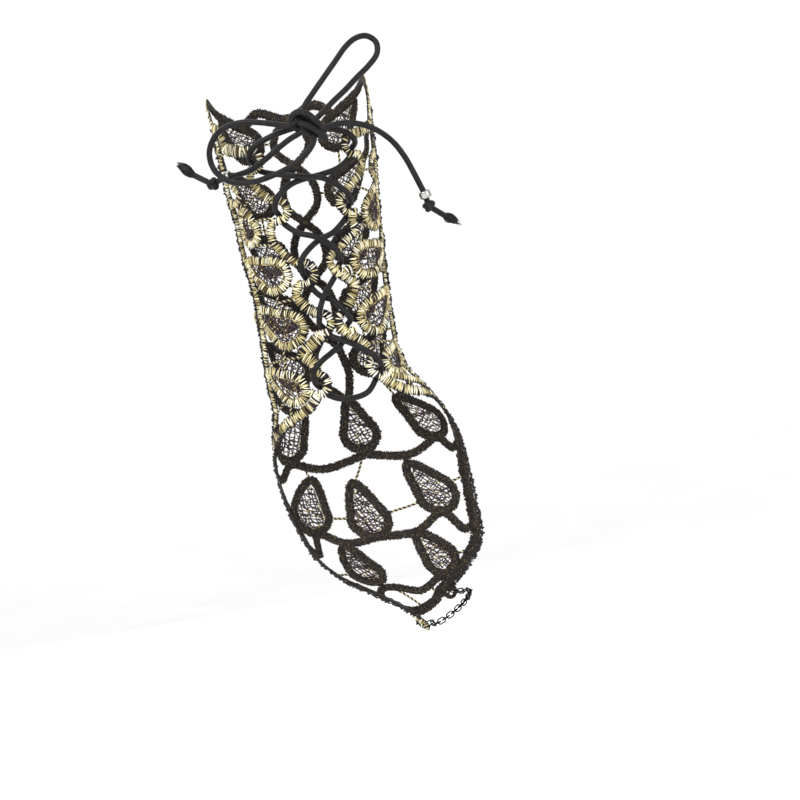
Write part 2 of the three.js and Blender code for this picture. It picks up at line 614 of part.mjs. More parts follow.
function solidOf(geometry, matrix = new THREE.Matrix4()) {
  const bare = geometry.clone();
  bare.deleteAttribute("normal");
  bare.deleteAttribute("uv");
  bare.applyMatrix4(matrix);
  const merged = mergeVertices(bare, 1e-3);
  return new wasm.Manifold(
    new wasm.Mesh({
      numProp: 3,
      vertProperties: merged.attributes.position.array,
      triVerts: new Uint32Array(merged.index.array),
    }),
  );
}

function geometryOf(manifold) {
  const { numProp, numVert, vertProperties, triVerts } = manifold.getMesh();
  const position = new Float32Array(3 * numVert);
  for (let i = 0; i < numVert; i += 1) {
    position.set(vertProperties.subarray(numProp * i, numProp * i + 3), 3 * i);
  }
  const geometry = new THREE.BufferGeometry();
  geometry.setAttribute("position", new THREE.BufferAttribute(position, 3));
  geometry.setIndex(new THREE.BufferAttribute(new Uint32Array(triVerts), 1));
  geometry.computeVertexNormals();
  return geometry;
}

function facing(position, axis, from = new THREE.Vector3(0, 0, 1)) {
  const turn = new THREE.Quaternion().setFromUnitVectors(from, axis.clone().normalize());
  return new THREE.Matrix4().compose(position, turn, new THREE.Vector3(1, 1, 1));
}

// The bow's knot: three turns of the cord pulled tight, each round a core that fills it.
const BOW_KNOT = { x: 4.4, y: -33.6, z: 89.2 };
const KNOT_TURNS = [
  { x: -2.6, y: 0.2, z: 3.0, axis: [0.45, -1, 0.25], radius: 2.5, core: 2.2 },
  { x: 2.2, y: -0.4, z: -3.0, axis: [-0.3, -1, 0.4], radius: 2.6, core: 2.2 },
  { x: 0.0, y: -0.2, z: 0.0, axis: [0.8, 0.25, -0.75], radius: 2.7, core: 2.8 },
];

function knotSolid(extra) {
  const turns = KNOT_TURNS.flatMap(({ x, y, z, axis, radius, core }) => {
    const centre = new THREE.Vector3(BOW_KNOT.x + x, BOW_KNOT.y + y, BOW_KNOT.z + z);
    const place = facing(centre, new THREE.Vector3(...axis));
    const turn = new THREE.TorusGeometry(radius, CORD_THICK / 2 + extra, 6, 8);
    const filling = new THREE.SphereGeometry(core + extra, 7, 5);
    return [solidOf(turn, place), solidOf(filling, place)];
  });
  return joined(turns);
}

add("bow_knot", geometryOf(knotSolid(0)), blackCord);

// Cords run into the knot and stop a small gap short of its turns.
const knotRoom = knotSolid(KNOT_GAP);

function tied(run) {
  return solidOf(tube(run, CORD_THICK)).subtract(knotRoom);
}

const [lacingStart, lacingEnd] = points(LACING_ENDS);
const lacingPoints = LACING.flatMap((row) => (row.eyelet ? throughEyelet(row) : [on(row.u, row.z, row.high)]));
add("lacing_cord", geometryOf(tied([lacingStart, ...lacingPoints, lacingEnd])), blackCord);
add("bow_loop_left", geometryOf(tied(points(BOW_LOOP_LEFT))), blackCord);
add("bow_loop_upper", geometryOf(tied(points(BOW_LOOP_UPPER))), blackCord);

// Each tail with the knot that stops its bead and, at its cut end, the bulb of strands that the cord has
// come undone into. The bulb reaches a little past the end of the route.
const BULB_PAST = 1.2;
const TAILS = [
  { side: "left", route: TAIL_LEFT, bead: 7, stop: 9, bulbLong: 8.2, bulbThick: 4.6 },
  { side: "right", route: TAIL_RIGHT, bead: 10, stop: 11, bulbLong: 6.2, bulbThick: 3.9 },
];
for (const { side, route, bead, stop, bulbLong, bulbThick } of TAILS) {
  const run = points(route);
  const lengthwise = new THREE.Vector3(0, 1, 0);
  const knot = solidOf(
    new THREE.SphereGeometry(STOP_KNOT / 2, 8, 5),
    facing(run[stop], run[stop + 1].clone().sub(run[stop - 1]), lengthwise),
  );
  const last = run[run.length - 1];
  const outwards = last.clone().sub(run[run.length - 2]).normalize();
  const bulbMiddle = last.clone().addScaledVector(outwards, BULB_PAST - bulbLong / 2);
  const bulb = solidOf(
    new THREE.SphereGeometry(0.5, 8, 6).scale(bulbThick, bulbLong, bulbThick),
    facing(bulbMiddle, outwards, lengthwise),
  );
  const whole = joined([tied(run), knot, bulb]);
  add("tail_" + side, geometryOf(whole), blackCord);
  const profile = [
    new THREE.Vector2(BEAD_HOLE / 2, -BEAD_LONG / 2),
    new THREE.Vector2(BEAD_OUTER / 2 - 0.4, -BEAD_LONG / 2),
    new THREE.Vector2(BEAD_OUTER / 2, -BEAD_LONG / 4),
    new THREE.Vector2(BEAD_OUTER / 2, BEAD_LONG / 4),
    new THREE.Vector2(BEAD_OUTER / 2 - 0.4, BEAD_LONG / 2),
    new THREE.Vector2(BEAD_HOLE / 2, BEAD_LONG / 2),
    new THREE.Vector2(BEAD_HOLE / 2, -BEAD_LONG / 2),
  ];
  const ring = add("bead_" + side, new THREE.LatheGeometry(profile, 12), silver);
  const way = run[bead + 1].clone().sub(run[bead - 1]);
  ring.applyMatrix4(facing(run[bead], way, lengthwise));
}

// The middle of the lace's thickness.
function midLace(u, z) {
  return on(u, z, standoff(u) + LACE_THICK / 2);
}

// The finger chain: a jump ring in each eye of the lace tip and links between them, each turned a
// quarter against the one before.
const CHAIN_RUN = points([
  [23.6, -12.0, -117.0], [28.2, -12.6, -115.2], [33.2, -11.2, -112.6], [37.4, -7.4, -110],
  [39.8, -2.2, -108], [40.2, 2.6, -107.0],
]);
const CHAIN_ENDS = [
  { name: "jump_ring_left", eye: CHAIN_EYES[0], pull: CHAIN_RUN[0] },
  { name: "jump_ring_right", eye: CHAIN_EYES[1], pull: CHAIN_RUN[CHAIN_RUN.length - 1] },
];
const chainEnds = CHAIN_ENDS.map(({ name, eye, pull }) => {
  const centre = midLace(eye.u, eye.z);
  const way = pull.clone().sub(centre).normalize();
  const across = midLace(eye.u + 1, eye.z).sub(midLace(eye.u - 1, eye.z));
  const rise = midLace(eye.u, eye.z + 1).sub(midLace(eye.u, eye.z - 1));
  const normal = new THREE.Vector3().crossVectors(rise, across).normalize();
  const middle = centre.clone().addScaledVector(way, JUMP_RING_RADIUS);
  const ring = new THREE.TorusGeometry(JUMP_RING_RADIUS, CHAIN_WIRE / 2, 6, 12);
  const axis = new THREE.Vector3().crossVectors(way, normal);
  add(name, ring, blackMetal).applyMatrix4(facing(middle, axis));
  return centre.clone().addScaledVector(way, 2 * JUMP_RING_RADIUS);
});

const chainCurve = new THREE.CatmullRomCurve3([chainEnds[0], ...CHAIN_RUN, chainEnds[1]]);
const chainLength = chainCurve.getLength();
const linkPitch = (chainLength - 2 * LINK_START) / (LINK_COUNT - 1);
for (let i = 0; i < LINK_COUNT; i += 1) {
  const t = (LINK_START + i * linkPitch) / chainLength;
  const link = new THREE.TorusGeometry((LINK_WIDE - CHAIN_WIRE) / 2, CHAIN_WIRE / 2, 5, 10);
  const spread = (LINK_LONG - LINK_WIDE) / 2;
  const corner = link.attributes.position;
  for (let k = 0; k < corner.count; k += 1) {
    corner.setX(k, corner.getX(k) + Math.sign(Math.round(corner.getX(k) * 1000)) * spread);
  }
  const name = "chain_link_" + String(i + 1).padStart(2, "0");
  const placed = add(name, link, blackMetal);
  const way = chainCurve.getTangentAt(t).normalize();
  const finger = new THREE.Vector3(0.407, 0.0, -0.914);
  const side = new THREE.Vector3().crossVectors(way, finger).normalize();
  const up = new THREE.Vector3().crossVectors(side, way).normalize();
  const frame = new THREE.Matrix4().makeBasis(way, up, side);
  frame.multiply(new THREE.Matrix4().makeRotationX((i % 2) * (Math.PI / 2)));
  frame.setPosition(chainCurve.getPointAt(t));
  placed.applyMatrix4(frame);
}

export default part;
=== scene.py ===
# A lace cuff for the forearm and wrist: gold and black corded lace, laced with black cord along the
# inner wrist, with a tongue over the back of the hand and a fine chain for one finger.
# Routes and tables are in millimetres and are turned to metres where a mesh is made.
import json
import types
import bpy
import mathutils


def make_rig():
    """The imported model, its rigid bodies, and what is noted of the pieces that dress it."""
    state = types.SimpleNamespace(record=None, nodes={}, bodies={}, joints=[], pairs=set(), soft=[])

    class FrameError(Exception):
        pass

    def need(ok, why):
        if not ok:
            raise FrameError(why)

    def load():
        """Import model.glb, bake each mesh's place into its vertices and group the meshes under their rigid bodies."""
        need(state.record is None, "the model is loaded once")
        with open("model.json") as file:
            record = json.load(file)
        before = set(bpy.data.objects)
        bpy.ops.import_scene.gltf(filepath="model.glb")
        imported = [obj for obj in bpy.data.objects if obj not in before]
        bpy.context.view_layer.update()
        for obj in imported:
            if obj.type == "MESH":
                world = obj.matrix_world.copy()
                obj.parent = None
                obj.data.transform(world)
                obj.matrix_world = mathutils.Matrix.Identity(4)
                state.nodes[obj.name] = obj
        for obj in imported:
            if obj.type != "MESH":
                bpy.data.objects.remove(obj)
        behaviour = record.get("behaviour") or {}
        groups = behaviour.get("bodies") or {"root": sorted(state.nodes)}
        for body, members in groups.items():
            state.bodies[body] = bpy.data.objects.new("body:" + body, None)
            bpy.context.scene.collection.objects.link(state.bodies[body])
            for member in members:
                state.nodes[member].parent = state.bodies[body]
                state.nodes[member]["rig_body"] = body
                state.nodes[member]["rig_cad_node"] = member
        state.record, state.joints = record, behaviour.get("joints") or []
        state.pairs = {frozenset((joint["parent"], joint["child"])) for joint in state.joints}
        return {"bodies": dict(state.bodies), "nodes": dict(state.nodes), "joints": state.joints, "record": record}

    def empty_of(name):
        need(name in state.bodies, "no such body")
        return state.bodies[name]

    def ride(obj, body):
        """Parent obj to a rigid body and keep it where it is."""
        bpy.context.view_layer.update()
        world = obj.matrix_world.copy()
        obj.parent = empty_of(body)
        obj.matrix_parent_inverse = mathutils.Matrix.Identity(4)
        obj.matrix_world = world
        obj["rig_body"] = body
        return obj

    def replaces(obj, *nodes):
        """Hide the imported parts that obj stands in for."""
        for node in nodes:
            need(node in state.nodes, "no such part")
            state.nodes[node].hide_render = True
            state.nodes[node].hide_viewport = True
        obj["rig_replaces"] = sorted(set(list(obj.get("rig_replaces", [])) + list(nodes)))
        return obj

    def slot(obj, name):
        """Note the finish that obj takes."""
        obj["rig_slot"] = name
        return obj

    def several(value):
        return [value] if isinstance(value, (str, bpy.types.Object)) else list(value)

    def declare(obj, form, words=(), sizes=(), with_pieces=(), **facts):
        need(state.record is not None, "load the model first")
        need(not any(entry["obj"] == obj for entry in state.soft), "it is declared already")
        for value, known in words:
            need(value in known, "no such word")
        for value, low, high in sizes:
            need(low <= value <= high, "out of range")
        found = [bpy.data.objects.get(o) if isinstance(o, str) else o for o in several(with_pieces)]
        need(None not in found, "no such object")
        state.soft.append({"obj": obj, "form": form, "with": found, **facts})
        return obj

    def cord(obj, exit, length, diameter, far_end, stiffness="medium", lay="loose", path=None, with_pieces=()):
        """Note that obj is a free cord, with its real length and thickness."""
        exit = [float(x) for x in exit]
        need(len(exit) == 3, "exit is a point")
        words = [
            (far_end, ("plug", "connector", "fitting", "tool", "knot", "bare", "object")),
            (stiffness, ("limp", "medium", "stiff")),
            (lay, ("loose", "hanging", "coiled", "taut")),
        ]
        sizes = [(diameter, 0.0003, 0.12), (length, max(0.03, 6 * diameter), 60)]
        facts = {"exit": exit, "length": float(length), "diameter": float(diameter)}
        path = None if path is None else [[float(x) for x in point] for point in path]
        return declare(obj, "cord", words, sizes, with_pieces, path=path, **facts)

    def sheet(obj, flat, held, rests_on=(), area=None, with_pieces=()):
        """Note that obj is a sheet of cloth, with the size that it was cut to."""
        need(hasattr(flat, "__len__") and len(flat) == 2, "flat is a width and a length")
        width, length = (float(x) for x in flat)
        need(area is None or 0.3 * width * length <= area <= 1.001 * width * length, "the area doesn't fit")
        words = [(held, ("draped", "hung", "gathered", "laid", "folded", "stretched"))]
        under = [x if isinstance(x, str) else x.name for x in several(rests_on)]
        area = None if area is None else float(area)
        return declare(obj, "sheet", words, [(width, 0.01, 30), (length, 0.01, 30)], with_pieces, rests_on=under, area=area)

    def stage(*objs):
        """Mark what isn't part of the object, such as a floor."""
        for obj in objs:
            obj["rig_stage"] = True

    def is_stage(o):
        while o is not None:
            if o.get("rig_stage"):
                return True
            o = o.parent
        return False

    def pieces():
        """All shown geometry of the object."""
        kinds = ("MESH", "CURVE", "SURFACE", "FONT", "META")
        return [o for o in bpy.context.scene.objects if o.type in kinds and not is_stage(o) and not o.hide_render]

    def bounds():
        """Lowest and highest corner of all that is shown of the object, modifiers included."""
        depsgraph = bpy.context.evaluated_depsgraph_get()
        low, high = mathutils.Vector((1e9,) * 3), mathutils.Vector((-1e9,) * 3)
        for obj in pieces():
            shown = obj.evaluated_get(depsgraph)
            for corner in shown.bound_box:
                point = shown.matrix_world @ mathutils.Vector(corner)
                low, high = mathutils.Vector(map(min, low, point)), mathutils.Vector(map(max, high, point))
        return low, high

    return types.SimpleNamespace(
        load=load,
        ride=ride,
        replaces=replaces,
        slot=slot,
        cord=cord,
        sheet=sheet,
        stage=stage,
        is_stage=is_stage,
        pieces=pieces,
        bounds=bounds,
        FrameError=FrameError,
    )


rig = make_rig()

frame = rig.load()

import json
import math

import bpy
import numpy as np
from mathutils import Matrix, Vector

cad_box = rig.bounds()


# The view. A long lens looks straight at the laced inner wrist from a little to the thumb side, and
# the arm leans in the picture. The wrist's middle lies at a known pixel, at a known scale.
PICTURE_PIXELS = 800
MM_PER_PIXEL = 0.41
WRIST_PIXEL = (329.7, 350.0)
EYE_DISTANCE = 1200
VIEW_SIDEWAYS = math.radians(-4.6)
ARM_LEAN = math.radians(9.6)
SENSOR_MM = 36
METRE = 0.001


def put(name, data):
    made = bpy.data.objects.new(name, data)
    bpy.context.scene.collection.objects.link(made)
    return made


level = Vector((math.cos(VIEW_SIDEWAYS), math.sin(VIEW_SIDEWAYS), 0))
looking = Vector((-math.sin(VIEW_SIDEWAYS), math.cos(VIEW_SIDEWAYS), 0))
upright = Vector((0, 0, 1))
picture_right = math.cos(ARM_LEAN) * level - math.sin(ARM_LEAN) * upright
picture_up = math.sin(ARM_LEAN) * level + math.cos(ARM_LEAN) * upright
picture_middle = MM_PER_PIXEL * (
    (PICTURE_PIXELS / 2 - WRIST_PIXEL[0]) * picture_right
    - (PICTURE_PIXELS / 2 - WRIST_PIXEL[1]) * picture_up
)
camera_data = bpy.data.cameras.new("camera")
camera_data.sensor_width = SENSOR_MM
camera_data.lens = SENSOR_MM * EYE_DISTANCE / MM_PER_PIXEL / PICTURE_PIXELS
camera = put("camera", camera_data)
camera.matrix_world = Matrix.Translation((picture_middle - EYE_DISTANCE * looking) * METRE) @ Matrix(
    (picture_right, picture_up, -looking)
).transposed().to_4x4()
bpy.context.scene.camera = camera


# The ground of the lace. The cuff is drawn flat, with u across (hundredths of half a turn from the
# middle of the back, negative on the thumb side, 100 the middle of the laced gap) and z up the arm,
# and laid round a smooth hollow of these half widths and half depths.
HOLLOW = [
    # z, half width, half depth, middle x, middle y
    (-122, 10.5, 9.0, 32.0, 0.0),
    (-112, 12.0, 9.5, 28.5, 0.0),
    (-102, 21.0, 11.5, 24.5, 0.5),
    (-92, 31.0, 13.0, 20.5, 1.0),
    (-80, 37.0, 14.0, 17.0, 1.5),
    (-62, 38.5, 15.0, 12.5, 2.0),
    (-47, 37.5, 16.0, 9.0, 2.0),
    (-34, 35.0, 17.0, 7.5, 1.5),
    (-22, 30.5, 17.5, 5.0, 1.0),
    (-12, 27.6, 18.0, 1.5, 0.5),
    (0, 26.3, 18.5, 0.0, 0.0),
    (20, 26.8, 19.2, 0.0, 0.0),
    (50, 28.2, 21.5, 0.0, 0.0),
    (80, 31.0, 25.0, 0.0, 0.0),
    (98, 31.6, 26.5, 0.0, 0.0),
    (118, 32.0, 27.5, 0.0, 0.0),
]
LEVEL, HALF_WIDTH, HALF_DEPTH, MIDDLE_X, MIDDLE_Y = np.array(HOLLOW, float).T
STANDOFF_BACK = 0.4
STANDOFF_LACED = 3.0
FLAT = 0.8


def hollow(column, z):
    """A smooth value of one column of the hollow at level z, with no overshoot."""
    rise = np.diff(column) / np.diff(LEVEL)
    before, after = rise[:-1], rise[1:]
    same = before * after > 0
    lean = np.concatenate(
        [rise[:1], np.where(same, 2 * before * after / np.where(same, before + after, 1), 0), rise[-1:]]
    )
    i = np.clip(np.searchsorted(LEVEL, z) - 1, 0, len(LEVEL) - 2)
    run = LEVEL[i + 1] - LEVEL[i]
    t = (z - LEVEL[i]) / run
    return (
        column[i]
        + (column[i + 1] - column[i]) * (3 * t**2 - 2 * t**3)
        + t * (1 - t) ** 2 * run * lean[i]
        + t**2 * (t - 1) * run * lean[i + 1]
    )


def wall(u, z):
    turn = np.pi * u / 100
    x = hollow(MIDDLE_X, z) + hollow(HALF_WIDTH, z) * np.sin(turn)
    y = hollow(MIDDLE_Y, z) + hollow(HALF_DEPTH, z) * np.cos(turn)
    return np.stack([x, y, z + 0 * x], -1)


def unit(v):
    return v / np.maximum(np.linalg.norm(v, axis=-1, keepdims=True), 1e-9)


def along(u, z, probe=0.05):
    """The wall's directions per unit of u and of z, and its outward normal."""
    u, z = np.broadcast_arrays(np.asarray(u, float), np.asarray(z, float))
    du = (wall(u + probe, z) - wall(u - probe, z)) / (2 * probe)
    dz = (wall(u, z + probe) - wall(u, z - probe)) / (2 * probe)
    return du, dz, unit(np.cross(dz, du))


def on(u, z, height):
    u, z = np.broadcast_arrays(np.asarray(u, float), np.asarray(z, float))
    return wall(u, z) + along(u, z)[2] * np.reshape(height, np.shape(height) + (1,) * (np.ndim(height) > 0))


def standoff(u):
    """The lacing runs beneath the lace's free edges and lifts them off the wall."""
    side = np.abs((np.asarray(u, float) + 100) % 200 - 100)
    t = np.clip((side - 60) / 22, 0, 1)
    return STANDOFF_BACK + (STANDOFF_LACED - STANDOFF_BACK) * t * t * (3 - 2 * t)


def rings_round(path, radius, across, up, sides):
    """A ring of points about each point of a path."""
    angles = 2 * np.pi * np.arange(sides) / sides
    radius = np.broadcast_to(radius, (len(path),))[:, None, None]
    across, up = (np.broadcast_to(way, path.shape)[:, None] for way in (across, up))
    return path[:, None] + radius * (across * np.cos(angles)[None, :, None]
                                     + up * np.sin(angles)[None, :, None])


def run_of(path):
    return np.concatenate([[0.0], np.cumsum(np.linalg.norm(np.diff(path, axis=0), axis=1))])


def curved(stops, closed=False, fine=24):
    """A smooth run through given stops."""
    stops = np.asarray(stops, float)
    if closed:
        ring = np.concatenate([stops[-1:], stops, stops[:2]])
    else:
        ring = np.concatenate([[2 * stops[0] - stops[1]], stops, [2 * stops[-1] - stops[-2]]])
    t = np.linspace(0, 1, fine, endpoint=False)[:, None]
    spans = []
    for a, b, c, d in zip(ring, ring[1:], ring[2:], ring[3:]):
        ab, bc, cd = (max(np.linalg.norm(q - p), 1e-6) ** 0.5 for p, q in ((a, b), (b, c), (c, d)))
        leave = ((b - a) / ab - (c - a) / (ab + bc) + (c - b) / bc) * bc
        reach = ((c - b) / bc - (d - b) / (bc + cd) + (d - c) / cd) * bc
        spans.append(
            b * (2 * t**3 - 3 * t**2 + 1)
            + c * (3 * t**2 - 2 * t**3)
            + leave * (t**3 - 2 * t**2 + t)
            + reach * (t**3 - t**2)
        )
    if not closed:
        spans.append(stops[-1:])
    return np.concatenate(spans)


dice = np.random.default_rng(7)


def laid(route, step, closed=False, jitter=0.0):
    """Places at equal steps along a route of (u, z), with the lace's directions there."""
    fine = curved([(u * FLAT, z) for u, z in route], closed)
    if closed:
        fine = np.concatenate([fine, fine[:1]])
    u, z = fine[:, 0] / FLAT, fine[:, 1]
    run = run_of(on(u, z, 0))
    count = max(3, round(run[-1] / step))
    at = np.linspace(0, run[-1], count, endpoint=not closed)
    at = np.clip(at + jitter * step * dice.uniform(-1, 1, count), 0, run[-1])
    near = 0.15
    here = [np.interp(at + shift, run, u) for shift in (-near, near)]
    there = [np.interp(at + shift, run, z) for shift in (-near, near)]
    u, z = np.interp(at, run, u), np.interp(at, run, z)
    out = along(u, z)[2]
    way = unit(on(here[1], there[1], 0) - on(here[0], there[0], 0))
    return {"u": u, "z": z, "at": at, "mid": on(u, z, standoff(u)), "out": out, "way": way,
            "side": unit(np.cross(out, way))}


# Leaves: a round end about u, z of that radius, drawn out to a tip.
LEAVES = {
    "thumb": [(-69, 52, 4.6, -67, 62.5), (-78, 33, 6.0, -60, 40), (-80, 10.5, 6.4, -61, 20),
              (-76, -13, 5.4, -58, -5)],
    "far": [(66, 52.5, 5.8, 58, 63), (76, 33.5, 6.0, 57, 38), (76.5, 10.5, 6.0, 57, 20),
            (69, -9.5, 4.8, 55, -2)],
    "hand": [(0, -36, 6.4, 0, -22), (-32, -36, 6.4, -22, -24), (30, -36, 6.4, 21, -24),
             (-32, -66, 7.2, -23, -52), (19, -66, 7.2, 13, -52), (-8, -72, 7.2, -8, -56),
             (-24, -93, 5.6, -22, -81), (12, -93, 5.6, 6, -81)],
    "back": [(side * 20, z, 6.2, side * 33, z + 11) for z in (90, 66, 42, 18, -6) for side in (1, -1)],
}

# Eyelet curls that the cord is laced through: middle, and the angles that the curl runs between, 0 towards the gap and
# 90 up the arm. Later ones are coarser and brighter, their raised tone a painted highlight.
EYELETS = {
    "thumb_1": (-79.5, 80.3, 120, -120),
    "thumb_2": (-86, 58.7, 110, -120),
    "thumb_3": (-92.5, 32, 110, -130),
    "thumb_4": (-96, 10.8, 120, -120),
    "thumb_5": (-88.5, -12.4, 100, -140),
    "far_1": (77, 80.3, 130, -120),
    "far_2": (82, 57.6, 60, -120),
    "far_3": (90, 34.6, 60, -130),
    "far_4": (90, 10.2, 80, -110),
    "far_5": (80.5, -10.5, 80, -150),
}
EYELET_RADIUS = 4.1

# Bands: width, then the stops of the route as u, z.
BANDS = {
    "thumb": [
        (4.0, [(-56, 97), (-63, 93), (-65, 87), (-71, 85.5), (-77, 84)]),
        (2.8, [(-79, 77), (-78, 73), (-80, 69), (-83, 65), (-86, 62)]),
        (2.8, [(-84, 55.5), (-82, 51), (-82, 46), (-85, 42), (-91, 36)]),
        (3.2, [(-90, 28), (-88, 23), (-91, 18.5), (-96, 15)]),
        (4.2, [(-97, 6.5), (-91, 3), (-86, -0.5), (-90, -3.5), (-91, -7)]),
        (2.4, [(-60, 74), (-64, 71.5), (-68, 68), (-64, 64.5), (-58, 66)]),
        (2.8, [(-56, 97), (-58, 86), (-57, 72), (-58, 58), (-56, 46), (-60, 34), (-62, 24), (-60, 12),
               (-57, -2), (-56, -14), (-55, -24), (-50, -34)]),
    ],
    "far": [
        (3.2, [(55, 96), (60, 88), (68, 86), (77, 84)]),
        (2.8, [(76, 77), (73, 73), (75, 69), (79, 66), (84, 62)]),
        (2.8, [(82, 53.5), (82, 49), (81, 46), (86, 42.5), (91, 38.5)]),
        (3.6, [(94, 32), (90, 28.5), (85, 24), (87, 20), (90, 16), (92, 13.5)]),
        (3.6, [(96, 8.5), (91, 4), (87, 1.5), (84, -2), (83, -6)]),
        (2.4, [(58, 77), (63, 73.5), (64, 69), (58, 66)]),
        (2.8, [(55, 96), (57, 86), (57, 72), (57, 58), (55, 46), (58, 34), (59, 24), (58, 12),
               (56, -2), (54, -12), (51, -22), (49, -34)]),
        (2.4, [(79, -14), (71, -16.5), (62, -18), (53, -20)]),
    ],
    "hand": [
        (3.4, [(-88, -16.5), (-82, -21.5), (-75, -24.5), (-67, -27), (-58, -31), (-50, -37), (-50, -48),
               (-48, -62), (-47, -76), (-49.5, -88), (-46, -95), (-43, -102), (-44, -109), (-61, -115.6)]),
        (3.4, [(83, -14.5), (79, -20), (72, -22.5), (62, -23.5), (54, -26), (50, -34), (44, -46),
               (36, -60), (32, -76), (30, -88), (21, -98), (6, -106.5)]),
        (3.4, [(-44, -109), (-30, -111.5), (-14, -111), (-2, -109), (7, -106)]),
        (2.6, [(-50, -48), (-40, -49), (-32, -44), (-16, -48), (0, -45)]),
        (2.6, [(44, -46), (36, -48), (30, -43), (15, -48), (0, -45)]),
        (2.6, [(-47, -78), (-40, -82), (-32, -74), (-20, -80), (-8, -79.5)]),
        (2.6, [(32, -80), (25, -82), (18, -74), (6, -80), (-8, -79.5)]),
        (2.4, [(-44, -103), (-24, -100), (-6, -104), (12, -99), (21, -98)]),
    ],
    "back": [(3.0, [(-20, 97), (-12, 103), (0, 99), (12, 103), (20, 97)])],
}
# Bands of the back, each with its mirror image in the middle line.
BACK_BANDS = [
    (3.0, [(20, 97), (28, 101), (36, 104), (45, 108), (50, 104), (55, 96)]),
    (2.4, [(0, 99), (6, 93), (7, 86), (0, 79)]),
    (2.4, [(0, 79), (6, 72), (7, 62), (0, 55)]),
    (2.4, [(0, 55), (6, 48), (7, 38), (0, 31)]),
    (2.4, [(0, 31), (6, 24), (7, 14), (0, 7)]),
    (2.4, [(0, 7), (6, 0), (7, -11), (0, -22)]),
    (2.6, [(57, 86), (48, 89), (40, 86), (38, 80), (34, 76)]),
    (2.6, [(57, 64), (48, 66), (40, 62), (38, 56), (34, 52)]),
    (2.6, [(56, 42), (48, 42), (40, 38), (38, 32), (34, 28)]),
    (2.6, [(59.5, 18), (48, 18), (40, 14), (38, 8), (34, 4)]),
    (2.6, [(55, -6), (46, -5), (40, -10), (34, -20), (21, -24)]),
]
BANDS["back"] += [(w, [(side * u, z) for u, z in route]) for w, route in BACK_BANDS for side in (1, -1)]

# Small round eyes at the two ends of the lace tip, which hold the chain, as u, z.
CHAIN_EYES = [(-66, -116.4), (13.5, -106.6)]
CHAIN_EYE_RADIUS = 2.2
CHAIN_EYE_BAND = 1.3
CHAIN_EYE_BEYOND = 0.2

LEAF_BAND = 2.8
LEAF_BEYOND = 0.75
EYELET_BAND = 2.2
EYELET_BEYOND = (0.15, 0.9)
LEAF_ARC = 14
LEAF_TIP_DRAWN_IN = 1.9
LEAF_SHOULDER = 0.92


def leaf_outline(leaf, inwards=0.0):
    """The leaf's outline, as stops in mm from its middle."""
    u, z, radius, tip_u, tip_z = leaf
    du, dz, _ = along(u, z)
    across, up = (tip_u - u) * np.linalg.norm(du), (tip_z - z) * np.linalg.norm(dz)
    reach, heading = math.hypot(across, up) - LEAF_TIP_DRAWN_IN * inwards, math.atan2(up, across)
    radius -= inwards
    opening = math.acos(min(radius / reach, 0.95)) * LEAF_SHOULDER
    angles = heading + opening + np.linspace(0, 2 * (np.pi - opening), LEAF_ARC)
    stops = [(reach * math.cos(heading), reach * math.sin(heading))]
    stops += [(radius * math.cos(a), radius * math.sin(a)) for a in angles]
    return np.array(stops), heading


def spread_on(leaf, flat):
    """From mm about a leaf's middle to u, z."""
    du, dz, _ = along(leaf[0], leaf[1])
    across, up = flat[:, 0] / np.linalg.norm(du), flat[:, 1] / np.linalg.norm(dz)
    return np.stack([leaf[0] + across, leaf[1] + up], -1)


def ring_route(u, z, radius, angles, across=1):
    """An arc of the lace about u, z."""
    du, dz, _ = along(u, z)
    return list(zip(u + across * radius * np.cos(angles) / np.linalg.norm(du),
                    z + radius * np.sin(angles) / np.linalg.norm(dz)))


# Every run of satin stitch in the lace. Its stitches reach past the solid band by so many mm: "inner" to
# the side that a curl or a leaf is round, "outer" to the other. Coarse ones are thick and far apart.
runs = []


# bright lifts a run's stitches towards the pale end of the gold: painted highlight.
def stitched(region, route, width, inner=0.4, outer=0.4, closed=False, coarse=1.0, bright=0.0):
    runs.append({"region": region, "route": route, "half": width / 2, "inner": inner, "outer": outer,
                 "closed": closed, "coarse": coarse, "bright": bright})


for region, rows in BANDS.items():
    for width, route in rows:
        stitched(region, route, width)
for region, leaves in LEAVES.items():
    for leaf in leaves:
        route = spread_on(leaf, leaf_outline(leaf)[0])
        stitched(region, route, LEAF_BAND, 0.0, LEAF_BEYOND, closed=True, bright=0.04)
for name, (u, z, start, end) in EYELETS.items():
    late = name[-1] in "45"
    ends = (start, end) if u < 0 else (end, start)
    route = ring_route(u, z, EYELET_RADIUS, np.radians(np.linspace(*ends, 12)), math.copysign(1, u))
    coarse, bright = (1.3, 0.3) if late else (1.1, 0.1)
    stitched(name[:-2], route, EYELET_BAND, *EYELET_BEYOND, coarse=coarse, bright=bright)
for u, z in CHAIN_EYES:
    route = ring_route(u, z, CHAIN_EYE_RADIUS, np.arange(8) * np.pi / 4)
    stitched("hand", route, CHAIN_EYE_BAND, 0.0, CHAIN_EYE_BEYOND, closed=True, coarse=0.8)


def linear(code):
    """A linear colour from an sRGB hex value."""
    parts = [int(code[i:i + 2], 16) / 255 for i in (1, 3, 5)]
    return (*(c / 12.92 if c <= 0.04045 else ((c + 0.055) / 1.055) ** 2.4 for c in parts), 1.0)


def add_node(tree, kind, settings=None, inputs=None, stops=()):
    """Adds a node, with its settings, its inputs' values or links, and a ramp's places and colours."""
    node = tree.nodes.new(kind)
    for name, value in (settings or {}).items():
        setattr(node, name, value)
    for name, value in (inputs or {}).items():
        if isinstance(value, bpy.types.NodeSocket):
            tree.links.new(value, node.inputs[name])
        else:
            node.inputs[name].default_value = value
    while stops and len(node.color_ramp.elements) < len(stops):
        node.color_ramp.elements.new(0.5)
    for element, (position, code) in zip(node.color_ramp.elements if stops else (), stops):
        element.position = position
        element.color = linear(code)
    return node


